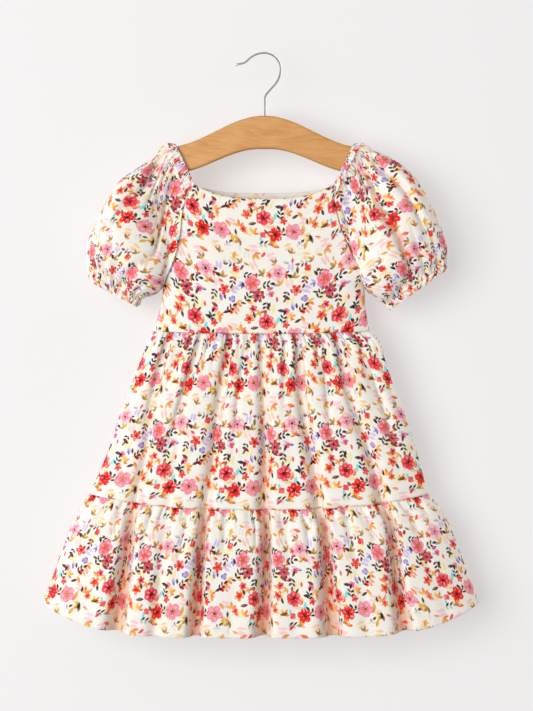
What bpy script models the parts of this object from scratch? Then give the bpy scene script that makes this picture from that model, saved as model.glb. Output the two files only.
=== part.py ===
"""A child's puff sleeve dress hanging on its wooden hanger.

The dress has a wide neck, raglan puff sleeves gathered by elastic at the neck and
the cuffs, a plain bodice, and a skirt of two gathered tiers. Every piece of cloth is
a thin wall worked out from rows: a row is one level round the body, or one section
round the arm. Tables are in millimetres, and meshes are made in metres.

+Z is up and the dress faces -Y. The origin is under the crown of the hanger's hook,
where the hook rests on its rail.
"""
import math

import bmesh
import bpy
import numpy as np

MM = 0.001

# ---------------------------------------------------------------- driving sizes, mm
CLOTH = 1.2              # wall of a single layer
CASING = 2.4             # wall of a folded edge with its elastic
GAP = 0.3                # clearance left at seams and seats
SLEEVE_GAP = 0.55        # along the arm, where the seam slants away from it
CUFF_GAP = 0.4

WIRE_RADIUS = 1.2        # hook
TIP_RADIUS = 2.0         # ball on the end of the hook
STEM_IN_WOOD = 14.0
HOLE_CLEARANCE = 0.3

BOARD_HALF_SPAN = 137.5  # hanger board
BOARD_THICKNESS = 12.0
BOARD_CROWN_Z = -80.6
BOARD_HEIGHT = 43.0      # at the middle
BOARD_END_HEIGHT = 33.0
BOARD_FALL = 41.0        # how far the top edge falls from the middle to the arms
BOARD_FALL_REACH = 128.0
BOARD_EASE = 3.0         # rounding of its edges

# The hook's path, from the stem up: turn in degrees, left positive, and radius.
# A row with no turn is a straight run of that length. The first run is the stem:
# 22.6 mm of it above the board, and the rest down the hole.
HOOK_PATH = (
    # turn, radius or length
    (0.0, 22.6 + STEM_IN_WOOD),
    (-42.0, 10.0),
    (0.0, 14.5),
    (42.0, 31.0),
    (90.0, 21.0),
    (48.0, 30.0),
    (-38.0, 12.0),
    (0.0, 5.0),
)
CROWN_ROW = 5            # rows before the crown of the hook

# Cross-section of the neck edge over the board: along the edge, and out from the
# board's middle plane.
ARCH = (
    # along, out
    (0.0, 0.0),
    (0.3, 5.5),
    (3.0, 8.6),
    (8.0, 10.0),
)
ARCH_FRACTIONS = (0.36, 0.68, 1.0)       # the rest of the edge, to the raglan seam
CASING_STOP = 0.97       # share of its last stretch, short of the raglan seam
SHOULDER_RISE = 0.9      # of the arm's top above the lowest of the board's top edge
SHOULDER_Z = BOARD_CROWN_Z - BOARD_FALL + SHOULDER_RISE + GAP + CASING
NECK_TOP_X = 115.0       # where the neck edge crosses the board
SLEEVE_TOP_X = 125.0     # where the sleeve leaves its casing there
NECK_CORNER_X = 90.0
NECK_CORNER_OUT = 13.0

# The bodice. A row with a raglan edge stands out from the middle plane at its ends.
# The first row is the neck edge and the last is the waist seam.
BODICE = (
    # side z, left x, right x, edge out, front crown, back crown, front dip, back dip
    (-170.5, -90.0, 90.0, 13.0, 3.0, 2.0, 18.5, 12.0),
    (-187.0, -101.5, 90.5, 14.0, 3.2, 2.0, 15.0, 9.5),
    (-203.0, -105.5, 93.0, 15.0, 3.2, 2.0, 12.0, 8.0),
    (-222.0, -108.5, 97.5, 15.5, 3.0, 2.0, 9.0, 7.0),
    (-240.0, -111.0, 104.0, 16.0, 2.8, 2.0, 7.0, 6.0),
    (-258.0, -115.5, 112.0, 15.5, 3.0, 2.5, 5.0, 5.0),
    (-275.0, -120.5, 120.0, 14.0, 4.2, 3.6, 4.0, 4.0),
    (-290.0, -126.0, 126.5, 10.0, 7.6, 7.0, 3.5, 3.5),
    (-304.0, -131.5, 129.5, 0.0, 17.2, 16.4, 3.5, 3.5),
    (-322.0, -133.5, 131.0, 0.0, 16.6, 15.8, 3.5, 3.5),
    (-341.0, -138.5, 133.0, 0.0, 16.2, 15.4, 3.5, 3.5),
    (-360.2, -145.0, 137.0, 0.0, 16.0, 15.0, 3.5, 3.5),
)
CASING_END_ROW = 1       # the casing's outer edge meets the raglan seam here
UNDERARM_ROW = 8
NECK_DIP_POWER = 3.0

# The skirt's two tiers. The level runs 0 at the waist, 2 at the tier seam, 4 at the hem.
SKIRT = (
    # level, side z, left x, right x, dip, front out, back out
    (0.0, -360.5, -145.0, 137.0, 3.5, 16.0, 15.0),
    (0.15, -371.0, -150.5, 147.5, 4.0, 18.5, 17.0),
    (0.45, -392.0, -158.5, 155.0, 6.0, 21.5, 19.5),
    (0.8, -422.0, -170.0, 165.0, 8.5, 24.5, 22.0),
    (1.15, -462.0, -186.0, 180.0, 11.5, 27.5, 25.0),
    (1.6, -516.0, -203.5, 197.5, 15.5, 30.5, 27.5),
    (2.0, -571.0, -227.0, 213.0, 19.0, 32.5, 29.5),
)
RUFFLE = (
    # level, side z, left x, right x, dip, front out, back out
    (2.0, -571.3, -227.0, 213.0, 19.0, 32.5, 29.5),
    (2.2, -585.0, -236.5, 224.5, 19.5, 36.0, 32.0),
    (2.6, -612.0, -250.5, 240.5, 21.5, 39.5, 35.0),
    (3.0, -645.0, -263.5, 253.5, 25.5, 42.5, 37.5),
    (3.5, -680.0, -275.5, 266.5, 32.0, 45.5, 40.0),
    (4.0, -711.0, -288.0, 279.0, 41.5, 47.5, 42.0),
)
DIP_POWER = ((0.0, 3.0), (2.0, 2.6), (4.0, 4.5))     # level, power of the dip's curve
SIDE_POWER = 3.0         # how square the body is in plan

# The largest folds: soft troughs that run down both tiers. Places are fractions of
# the width, left to right; depths and widths are in millimetres at waist, seam and hem.
FRONT_FOLDS = (
    # at waist, level 1, seam, level 3, hem;  depth waist, seam, hem;  width waist, hem
    (0.124, 0.105, 0.135, 0.168, 0.172, 2.5, 13.0, 25.0, 7.0, 17.0),
    (0.235, 0.200, 0.230, 0.255, 0.262, 2.5, 3.0, 5.0, 6.0, 14.0),
    (0.345, 0.312, 0.340, 0.346, 0.351, 3.0, 13.0, 23.0, 7.0, 16.0),
    (0.496, 0.505, 0.518, 0.515, 0.505, 3.5, 19.0, 31.0, 7.0, 15.0),
    (0.655, 0.652, 0.676, 0.670, 0.667, 3.0, 15.0, 29.0, 7.0, 19.0),
    (0.814, 0.842, 0.868, 0.842, 0.828, 2.5, 14.0, 25.0, 7.0, 16.0),
)
BACK_FOLDS = (
    (0.150, 0.148, 0.155, 0.160, 0.158, 2.5, 11.0, 22.0, 7.0, 17.0),
    (0.290, 0.300, 0.322, 0.330, 0.335, 3.0, 14.0, 25.0, 7.0, 18.0),
    (0.405, 0.410, 0.425, 0.432, 0.440, 2.5, 4.0, 7.0, 6.0, 13.0),
    (0.520, 0.535, 0.548, 0.556, 0.560, 3.0, 16.0, 27.0, 7.0, 17.0),
    (0.690, 0.700, 0.708, 0.716, 0.722, 3.0, 13.0, 24.0, 7.0, 18.0),
    (0.845, 0.850, 0.858, 0.862, 0.860, 2.5, 11.0, 21.0, 7.0, 16.0),
)

# The sleeves, from the armhole to the top of the cuff: the outline's upper and lower
# points in front view, and how far the puff stands out in front and behind. The
# armhole itself is worked out from the casing and the raglan seam.
SLEEVE_LEFT = (
    # top x, top z, under x, under z, front out, back out
    (-136.0, -123.5, -135.0, -307.0, 16.0, 15.0),
    (-151.5, -137.8, -139.0, -309.4, 25.0, 23.0),
    (-169.7, -150.8, -142.6, -311.8, 32.0, 29.0),
    (-187.9, -165.0, -146.2, -313.8, 36.5, 33.0),
    (-203.5, -187.0, -149.5, -315.0, 38.5, 35.0),
    (-215.5, -213.0, -152.8, -316.0, 37.5, 34.0),
    (-227.0, -238.0, -155.6, -317.2, 33.0, 30.0),
    (-233.0, -263.0, -158.2, -318.6, 25.5, 24.0),
    (-228.5, -286.0, -160.4, -320.6, 16.5, 16.0),
)
CUFF_LEFT = (-224.0, -297.5, -165.6, -328.9, 15.5, 15.0)
SLEEVE_RIGHT = (
    (134.6, -120.5, 133.3, -306.5, 16.0, 15.0),
    (150.2, -127.8, 137.2, -310.7, 25.0, 23.0),
    (169.7, -138.5, 141.0, -314.0, 32.0, 29.0),
    (186.6, -151.5, 144.6, -317.0, 36.5, 33.0),
    (202.2, -170.5, 147.6, -319.4, 39.0, 35.0),
    (216.5, -195.0, 150.2, -321.2, 38.0, 34.0),
    (228.2, -222.3, 152.8, -322.6, 34.0, 31.0),
    (237.0, -250.0, 155.0, -324.0, 26.5, 25.0),
    (236.5, -272.5, 157.6, -325.6, 17.5, 17.0),
)
CUFF_RIGHT = (234.7, -282.0, 163.2, -332.8, 16.5, 16.0)
SLEEVE_POWER = 2.6       # how full a section round the arm is
CREASE_RIGHT = (0.42, 0.05, 6.5)         # place round the front, width, depth
CREASE_LEFT = (0.55, 0.05, 3.0)

BACK_CASING_DROP = 12.0  # height of the turned-in back neck edge
BACK_CASING_ENDS = 0.03  # fraction of the width left bare at each end

BODICE_COLUMNS = 18
SKIRT_COLUMNS = 40
RUFFLE_COLUMNS = 46
END_CROWDING = 0.85      # how much closer together columns lie at a panel's ends

FRONT = -1.0
BACK = 1.0


# ---------------------------------------------------------------- meshes and finishes
def finish(name, colour, roughness, metallic=0.0):
    """A plain Principled material."""
    material = bpy.data.materials.new(name)
    material.use_nodes = True
    shader = material.node_tree.nodes["Principled BSDF"]
    shader.inputs["Base Color"].default_value = (*colour, 1.0)
    shader.inputs["Roughness"].default_value = roughness
    shader.inputs["Metallic"].default_value = metallic
    return material


def add_object(name, vertices, faces, material):
    """One closed body from points in millimetres, with its faces pointing out."""
    mesh = bpy.data.meshes.new(name)
    points = (np.asarray(vertices) * MM).tolist()
    mesh.from_pydata(points, [], [tuple(int(i) for i in face) for face in faces])
    shape = bmesh.new()
    shape.from_mesh(mesh)
    bmesh.ops.recalc_face_normals(shape, faces=shape.faces)
    if shape.calc_volume(signed=True) < 0:
        bmesh.ops.reverse_faces(shape, faces=shape.faces)
    shape.to_mesh(mesh)
    shape.free()
    mesh.materials.append(material)
    mesh.shade_smooth()
    mesh.set_sharp_from_angle(angle=math.radians(40))
    piece = bpy.data.objects.new(name, mesh)
    bpy.context.scene.collection.objects.link(piece)
    return piece


def add_wall(name, outer, inner, material, closed=False):
    """A wall between two grids of points, rows by columns.

    A closed wall joins its last column to its first, as a sleeve does.
    """
    rows, columns = outer.shape[:2]
    number = np.arange(rows * columns).reshape(rows, columns)
    if closed:
        number = np.concatenate([number, number[:, :1]], axis=1)
    shift = rows * columns
    a, b = number[:-1, :-1].ravel(), number[:-1, 1:].ravel()
    c, d = number[1:, 1:].ravel(), number[1:, :-1].ravel()
    faces = [np.stack([a, b, c], 1), np.stack([a, c, d], 1)]
    faces += [face[:, ::-1] + shift for face in faces]
    rims = [number[0][::-1], number[-1]]
    if not closed:
        rims += [number[:, 0], number[:, -1][::-1]]
    for rim in rims:
        here, there = rim[:-1], rim[1:]
        faces.append(np.stack([here, here + shift, there + shift], 1))
        faces.append(np.stack([here, there + shift, there], 1))
    points = np.concatenate([outer.reshape(-1, 3), inner.reshape(-1, 3)])
    return add_object(name, points, np.concatenate(faces), material)


def unit(vectors):
    """The same directions, one unit long."""
    return vectors / np.linalg.norm(vectors, axis=-1, keepdims=True)


# ---------------------------------------------------------------- body panels
def spread(count):
    """Fractions from 0 to 1 that crowd together towards both ends."""
    even = np.linspace(0.0, 1.0, count)
    return even - END_CROWDING * np.sin(2 * math.pi * even) / (2 * math.pi)


def dome(t, power):
    """1 in the middle of a panel, rounding down to 0 at both ends."""
    return np.sqrt(np.clip(1 - np.abs(2 * t - 1) ** power, 0, None))


def fold_depth(rows, t, folds):
    """How far the folds set each point back: one soft trough for each fold."""
    level = rows[:, 0:1]
    left, right = rows[:, 2:3], rows[:, 3:4]
    x = left + (right - left) * t
    total = np.zeros_like(x)
    for fold in folds:
        place = np.interp(level, (0, 1, 2, 3, 4), fold[0:5])
        depth = np.interp(level, (0, 2, 4), fold[5:8])
        width = np.interp(level, (0, 4), fold[8:10])
        centre = left + (right - left) * place
        total += depth * np.exp(-((x - centre) / width) ** 2)
    return total


def tier(table, side, columns, folds):
    """A tier's front or back, as a grid of points on its outer face."""
    rows = np.array(table)
    t = spread(columns)[None, :]
    level, z, left, right, dip = (rows[:, i:i + 1] for i in range(5))
    out = rows[:, 5:6] if side == FRONT else rows[:, 6:7]
    levels, powers = zip(*DIP_POWER)
    power = np.interp(level, levels, powers)
    x = left + (right - left) * t
    z = z - dip * (1 - np.abs(2 * t - 1) ** power)
    y = out * dome(t, SIDE_POWER) - fold_depth(rows, t, folds)
    y = np.where((t > 0) & (t < 1), np.maximum(y, 0.0), 0.0)
    return np.stack([x + 0 * y, side * (y + GAP / 2), z + 0 * y], -1)


def bodice(side):
    """The front or back bodice, as a grid of points on its outer face."""
    rows = np.array(BODICE)
    t = spread(BODICE_COLUMNS)[None, :]
    z, left, right, edge = (rows[:, i:i + 1] for i in range(4))
    crown = rows[:, 4:5] if side == FRONT else rows[:, 5:6]
    dip = rows[:, 6:7] if side == FRONT else rows[:, 7:8]
    x = left + (right - left) * t
    z = z - dip * (1 - np.abs(2 * t - 1) ** NECK_DIP_POWER)
    y = edge + crown * dome(t, SIDE_POWER)
    return np.stack([x + 0 * y, side * (y + GAP / 2), z + 0 * y], -1)


def level_inside(outer, side, thickness, raglan_rows=0):
    """The inner face of a body panel: each row moved in, level with itself.

    The walls of neighbouring panels end in one plane at each seam, so they can't
    run into each other. Ends on a raglan seam face front or back, ends on a side
    seam face left or right.
    """
    along = np.gradient(outer[..., :2], axis=1)
    out = side * np.stack([-along[..., 1], along[..., 0]], -1)
    out = unit(out)
    out[:, 0] = (-1.0, 0.0)
    out[:, -1] = (1.0, 0.0)
    out[:raglan_rows, 0] = (0.0, side)
    out[:raglan_rows, -1] = (0.0, side)
    inner = outer.copy()
    inner[..., :2] -= out * thickness
    return inner


# ---------------------------------------------------------------- arm pieces
def shoulder_edge(top, corner, corner_out):
    """Half of the neck edge over the board: points from its top to the corner.

    top and corner are (x, z). The points stand out from the middle plane by the
    arch's table, then evenly out to the corner.
    """
    top, corner = np.array(top), np.array(corner)
    length = np.linalg.norm(corner - top)
    arch = np.array(ARCH)
    fractions = np.array(ARCH_FRACTIONS)
    place = np.concatenate([arch[:, 0] / length, fractions])
    after = np.interp(fractions, (arch[-1, 0] / length, 1.0), (arch[-1, 1], corner_out))
    out = np.concatenate([arch[:, 1], after])
    flat = top + (corner - top) * place[:, None]
    return np.stack([flat[:, 0], out, flat[:, 1]], -1)


def casing_edges(hand):
    """Half of the casing's neck edge and of its outer edge; hand is -1 or 1."""
    row = BODICE[CASING_END_ROW]
    end_x = row[1] if hand < 0 else row[2]
    neck = shoulder_edge((hand * NECK_TOP_X, SHOULDER_Z),
                         (hand * NECK_CORNER_X, BODICE[0][0]), NECK_CORNER_OUT)
    outer = shoulder_edge((hand * SLEEVE_TOP_X, SHOULDER_Z), (end_x, row[0]), row[3])
    return neck, outer


def round_the_arm(half, back_scale=1.0):
    """A closed loop from its front half, top to bottom, and the same behind."""
    front = half * (1.0, FRONT, 1.0)
    back = half[-2:0:-1] * (1.0, BACK * back_scale, 1.0)
    return np.concatenate([front, back])


def armhole(hand):
    """Front half of the armhole: the casing's outer edge, then the raglan seam."""
    rows = np.array(BODICE)[CASING_END_ROW + 1:UNDERARM_ROW + 1]
    x = rows[:, 1] if hand < 0 else rows[:, 2]
    raglan = np.stack([x, rows[:, 3], rows[:, 0]], -1)
    return np.concatenate([casing_edges(hand)[1], raglan])


def sleeve_loops(hand, table, crease):
    """Closed loops round the arm, from the armhole to the top of the cuff."""
    start = armhole(hand)
    flat = start[:, [0, 2]]
    steps = np.linalg.norm(np.diff(flat, axis=0), axis=1)
    along = np.concatenate([[0.0], np.cumsum(steps)]) / steps.sum()
    count = len(start)
    even = 0.5 - 0.5 * np.cos(math.pi * np.arange(count) / (count - 1))
    straight = flat[0] + (flat[-1] - flat[0]) * along[:, None]
    bow = flat - straight
    place, width, depth = crease
    loops = [round_the_arm(start)]
    last = len(table)
    for number, (top_x, top_z, under_x, under_z, front, back) in enumerate(table, 1):
        s = number / last
        blend = min(1.0, 3.2 * s)
        u = along + (even - along) * blend
        top, under = np.array((top_x, top_z)), np.array((under_x, under_z))
        section = top + (under - top) * u[:, None] + bow * (1 - s) ** 2
        round_off = dome(u, SLEEVE_POWER)
        out = start[:, 1] + (front * round_off - start[:, 1]) * blend
        dent = depth * math.sin(math.pi * min(1.0, s + 0.08))
        dented = out - dent * np.exp(-((u - place) / width) ** 2)
        half_front = np.stack([section[:, 0], dented, section[:, 1]], -1)
        half_back = np.stack([section[:, 0], out * back / front, section[:, 1]], -1)
        loop = round_the_arm(half_front)
        loop[count:] = (half_back * (1.0, BACK, 1.0))[-2:0:-1]
        loops.append(loop)
    return np.array(loops)


def cuff_loops(sleeve, end):
    """The cuff's loops: the sleeve's last one, a gap away, to the open end."""
    top_x, top_z, under_x, under_z, front, back = end
    count = sleeve.shape[1] // 2 + 1
    u = 0.5 - 0.5 * np.cos(math.pi * np.arange(count) / (count - 1))
    top, under = np.array((top_x, top_z)), np.array((under_x, under_z))
    section = top + (under - top) * u[:, None]
    out = front * dome(u, SLEEVE_POWER)
    half = np.stack([section[:, 0], out, section[:, 1]], -1)
    last = round_the_arm(half, back / front)
    first = sleeve[-1]
    axis = arm_axis(first, last)
    middle = (first + last) / 2
    return np.array([first + axis * CUFF_GAP, middle, last])


def arm_axis(first, last):
    """The direction from one loop to the next, in the plane of the hanger."""
    axis = last.mean(axis=0) - first.mean(axis=0)
    axis[1] = 0.0
    return unit(axis)


def loop_inside(loops, thickness, start_axis, end_axis):
    """The inner face of a wall of loops round the arm.

    At both ends the wall is square to a given axis, so that the next piece can
    meet it; between them it is square to the surface.
    """
    round_it = np.roll(loops, -1, axis=1) - np.roll(loops, 1, axis=1)
    down = np.gradient(loops, axis=0)
    down = unit(down)
    down[0] = start_axis
    down[-1] = end_axis
    out = unit(np.cross(round_it, down))
    centre = loops.mean(axis=1, keepdims=True)
    outward = np.sum(out * (loops - centre), axis=-1)
    if outward.mean() < 0:
        out = -out
    return loops - out * thickness


# ---------------------------------------------------------------- the hanger
def board_outline():
    """The board's outline in front view: top edge, round ends, bottom edge."""
    def top(x):
        turn = np.minimum(np.abs(x) / BOARD_FALL_REACH, 1.0) * math.pi
        return BOARD_CROWN_Z - BOARD_FALL * (1 - np.cos(turn)) / 2

    def height(x):
        return BOARD_HEIGHT + (BOARD_END_HEIGHT - BOARD_HEIGHT) * np.abs(x) / BOARD_HALF_SPAN

    radius = BOARD_END_HEIGHT / 2
    straight_end = BOARD_HALF_SPAN - radius
    x = np.linspace(-straight_end, straight_end, 37)
    upper = np.stack([x, top(x)], -1)
    lower = np.stack([x[::-1], top(x[::-1]) - height(x[::-1])], -1)
    middle = (upper[-1] + lower[0]) / 2
    half = (upper[-1, 1] - lower[0, 1]) / 2
    angle = np.linspace(math.pi / 2, -math.pi / 2, 13)[1:-1]
    right = middle + np.stack([radius * np.cos(angle), half * np.sin(angle)], -1)
    left = right[::-1] * (-1.0, 1.0)
    return np.concatenate([upper, right, lower, left])


def hook_points():
    """Centreline of the hook in front view, crown over the origin."""
    point, heading = np.zeros(2), math.pi / 2
    points = [point]
    crown = point
    for number, (turn, size) in enumerate(HOOK_PATH):
        if turn == 0.0:
            steps = max(2, round(size / 6))
            for _ in range(steps):
                point = point + size / steps * np.array((math.cos(heading), math.sin(heading)))
                points.append(point)
        else:
            steps = max(4, round(abs(turn) / 8))
            step = math.radians(turn) / steps
            chord = 2 * size * math.sin(abs(step) / 2)
            for _ in range(steps):
                direction = heading + step / 2
                point = point + chord * np.array((math.cos(direction), math.sin(direction)))
                heading += step
                points.append(point)
        if number + 1 == CROWN_ROW:
            crown = point
    return np.array(points) - crown + (0.0, WIRE_RADIUS)


def add_hook(material):
    """The wire hook: rings along its path, swelling to a ball at the tip."""
    path = hook_points()
    tail = path[-1] - path[-2]
    tail = tail / np.linalg.norm(tail)
    ball = path[-1] + tail * TIP_RADIUS
    angles = np.linspace(math.pi - math.asin(WIRE_RADIUS / TIP_RADIUS), 0.25, 6)
    places = [ball + tail * TIP_RADIUS * math.cos(a) for a in angles]
    path = np.concatenate([path[:-1], places])
    radii = np.full(len(path), WIRE_RADIUS)
    radii[-len(angles):] = TIP_RADIUS * np.sin(angles)
    along = unit(np.gradient(path, axis=0))
    side = np.stack([along[:, 1], -along[:, 0]], -1)
    turn = np.linspace(0, 2 * math.pi, 11)[:-1]
    ring = radii[:, None, None] * (side[:, None, :] * np.cos(turn)[None, :, None])
    y = radii[:, None] * np.sin(turn)[None, :]
    centre = path[:, None, :] + ring
    rings = np.stack([centre[..., 0], y, centre[..., 1]], -1)
    count = len(turn)
    faces = []
    for i in range(len(path) - 1):
        for j in range(count):
            k = (j + 1) % count
            faces.append((i * count + j, i * count + k, (i + 1) * count + k, (i + 1) * count + j))
    faces.append(tuple(range(count)))
    faces.append(tuple((len(path) - 1) * count + j for j in range(count))[::-1])
    return add_object("hanger_hook", rings.reshape(-1, 3), faces, material)


def add_board(material, stem_x):
    """The flat board with eased edges and a hole for the hook's stem."""
    outline = board_outline()
    half = BOARD_THICKNESS / 2
    count = len(outline)
    front = np.stack([outline[:, 0], np.full(count, -half), outline[:, 1]], -1)
    back = front * (1.0, -1.0, 1.0)
    faces = [tuple(range(count)), tuple(range(2 * count - 1, count - 1, -1))]
    for i in range(count):
        k = (i + 1) % count
        faces.append((i, i + count, k + count, k))
    board = add_object("hanger_board", np.concatenate([front, back]), faces, material)
    ease = board.modifiers.new("eased edges", "BEVEL")
    ease.width = BOARD_EASE * MM
    ease.segments = 3
    ease.limit_method = "ANGLE"
    ease.angle_limit = math.radians(60)
    drill_radius = WIRE_RADIUS + HOLE_CLEARANCE
    turn = np.linspace(0, 2 * math.pi, 13)[:-1]
    ring = np.stack([stem_x + drill_radius * np.cos(turn), drill_radius * np.sin(turn)], -1)
    low, high = BOARD_CROWN_Z - STEM_IN_WOOD - GAP, BOARD_CROWN_Z + 5.0
    rings = [np.concatenate([ring, np.full((12, 1), z)], 1) for z in (low, high)]
    walls = [(i, (i + 1) % 12, 12 + (i + 1) % 12, 12 + i) for i in range(12)]
    ends = [tuple(range(12))[::-1], tuple(range(12, 24))]
    drill = add_object("drill", np.concatenate(rings), walls + ends, material)
    drill.hide_render = True
    drill.display_type = "WIRE"
    hole = board.modifiers.new("stem hole", "BOOLEAN")
    hole.operation = "DIFFERENCE"
    hole.object = drill
    return board


# ---------------------------------------------------------------- the dress
def add_bodice(cloth):
    """Front and back bodice, and the turned-in edge inside the back neck."""
    front = bodice(FRONT)
    back = bodice(BACK)
    add_wall("front_bodice", front, level_inside(front, FRONT, CLOTH, UNDERARM_ROW), cloth)
    back_inner = level_inside(back, BACK, CLOTH, UNDERARM_ROW)
    add_wall("back_bodice", back, back_inner, cloth)

    columns = spread(BODICE_COLUMNS)
    kept = (columns > BACK_CASING_ENDS) & (columns < 1 - BACK_CASING_ENDS)
    drop = back_inner[0, kept, 2] - back_inner[1, kept, 2]
    fraction = (BACK_CASING_DROP / drop)[:, None]
    edge = back_inner[0, kept]
    below = edge + (back_inner[1, kept] - edge) * fraction
    strip = np.array([edge, below]) - (0.0, GAP, 0.0)
    add_wall("back_neck_casing", strip, strip - (0.0, CLOTH, 0.0), cloth)


def add_sleeve(name, hand, table, cuff, crease, cloth):
    """One sleeve with its neck casing and its cuff."""
    neck, outer = casing_edges(hand)
    for edge in (neck, outer):
        edge[-1] = edge[-2] + (edge[-1] - edge[-2]) * CASING_STOP
    strip = [np.concatenate([edge[::-1] * (1.0, FRONT, 1.0), edge[1:]]) for edge in (neck, outer)]
    strip = np.array(strip)
    loops = sleeve_loops(hand, table, crease)
    start_axis = arm_axis(loops[0], loops[2])
    along = np.gradient(strip, axis=1)
    out = unit(np.cross(along, np.broadcast_to(start_axis, along.shape)))
    middle = strip.shape[1] // 2
    if out[0, middle, 2] < 0:
        out = -out
    add_wall("shoulder_casing_" + name, strip, strip - out * CASING, cloth)

    loops[0] += start_axis * SLEEVE_GAP
    bands = cuff_loops(loops, cuff)
    end_axis = arm_axis(bands[0], bands[2])
    inner = loop_inside(loops, CLOTH, start_axis, end_axis)
    add_wall("sleeve_" + name, loops, inner, cloth, closed=True)
    inner = loop_inside(bands, CASING, end_axis, end_axis)
    add_wall("cuff_" + name, bands, inner, cloth, closed=True)


def add_skirt(cloth):
    """Both tiers, front and back."""
    for word, side, folds in (("front", FRONT, FRONT_FOLDS), ("back", BACK, BACK_FOLDS)):
        skirt = tier(SKIRT, side, SKIRT_COLUMNS, folds)
        add_wall("skirt_" + word, skirt, level_inside(skirt, side, CLOTH), cloth)
        ruffle = tier(RUFFLE, side, RUFFLE_COLUMNS, folds)
        add_wall("ruffle_" + word, ruffle, level_inside(ruffle, side, CLOTH), cloth)


def main():
    for leftover in list(bpy.data.objects):
        bpy.data.objects.remove(leftover)
    cloth = finish("printed cotton", (0.86, 0.70, 0.64), 0.85)
    wood = finish("beech", (0.72, 0.44, 0.20), 0.45)
    wire = finish("bright wire", (0.62, 0.62, 0.64), 0.25, 1.0)
    add_board(wood, hook_points()[0, 0])
    add_hook(wire)
    add_bodice(cloth)
    add_sleeve("left", -1.0, SLEEVE_LEFT, CUFF_LEFT, CREASE_LEFT, cloth)
    add_sleeve("right", 1.0, SLEEVE_RIGHT, CUFF_RIGHT, CREASE_RIGHT, cloth)
    add_skirt(cloth)


main()
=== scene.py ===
# %% [markdown]
# # A child's puff sleeve dress on its wooden hanger
#
# The dress is sewn from flat pieces of printed cotton: a front and a back bodice, two
# raglan sleeves gathered by elastic at the neck and at the cuffs, and a skirt of two
# tiers, each gathered into the one above. It hangs on a flat wooden hanger, nearly flat
# itself, and the skirt falls in soft folds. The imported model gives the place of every
# piece. This script lays a fine, creased shell of cloth where each plain wall is, and
# gives cloth, wood and wire their finishes.

# %% Load the frame
import math

import bpy
import numpy as np
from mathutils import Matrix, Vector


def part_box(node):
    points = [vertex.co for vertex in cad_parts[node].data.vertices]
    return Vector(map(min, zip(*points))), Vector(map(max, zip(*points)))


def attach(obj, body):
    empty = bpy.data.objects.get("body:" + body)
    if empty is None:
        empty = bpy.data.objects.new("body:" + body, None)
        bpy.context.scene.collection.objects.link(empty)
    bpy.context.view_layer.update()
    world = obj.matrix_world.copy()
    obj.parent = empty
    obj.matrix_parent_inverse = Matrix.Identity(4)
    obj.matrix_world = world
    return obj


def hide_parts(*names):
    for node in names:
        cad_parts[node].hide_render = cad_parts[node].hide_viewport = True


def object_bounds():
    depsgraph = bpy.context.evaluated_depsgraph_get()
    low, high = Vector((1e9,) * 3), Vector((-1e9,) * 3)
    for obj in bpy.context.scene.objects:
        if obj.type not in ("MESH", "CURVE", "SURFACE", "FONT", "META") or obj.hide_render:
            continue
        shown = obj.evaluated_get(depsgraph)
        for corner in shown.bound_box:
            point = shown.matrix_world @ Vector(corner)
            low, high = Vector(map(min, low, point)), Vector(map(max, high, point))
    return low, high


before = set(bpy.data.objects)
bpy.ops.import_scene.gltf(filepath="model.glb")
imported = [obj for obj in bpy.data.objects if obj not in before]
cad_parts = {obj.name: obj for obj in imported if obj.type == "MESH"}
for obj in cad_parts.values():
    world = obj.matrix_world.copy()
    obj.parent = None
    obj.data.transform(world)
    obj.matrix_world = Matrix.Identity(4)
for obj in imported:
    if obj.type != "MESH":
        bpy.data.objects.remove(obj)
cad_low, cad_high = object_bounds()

print("nodes:", sorted(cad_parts))

# %% [markdown]
# ## Camera, backdrop and light
#
# The dress hangs in front of a pale wall and is seen straight from the front, from about
# two and a half metres. A large soft lamp stands level with it and to the left, so folds
# are lit on their left and shaded on their right, and the pale, slightly warm room fills
# the shadows. Weaker lamps behind the dress brighten its outline. The wall and the floor
# can be seen from their front only, so that the dress can be looked at from every side.

# %% Camera
AIM = (0.0026, 0.0, -0.392)
DISTANCE = 2.4
VIEW_HEIGHT = 0.924

camera_data = bpy.data.cameras.new("camera")
camera_data.lens = camera_data.sensor_width * DISTANCE / VIEW_HEIGHT
camera = bpy.data.objects.new("camera", camera_data)
camera.location = (AIM[0], AIM[1] - DISTANCE, AIM[2])
camera.rotation_euler = (math.pi / 2, 0.0, 0.0)
bpy.context.scene.collection.objects.link(camera)
bpy.context.scene.camera = camera
print("camera", round(DISTANCE, 2), "m away, lens", round(camera_data.lens, 1))

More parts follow.
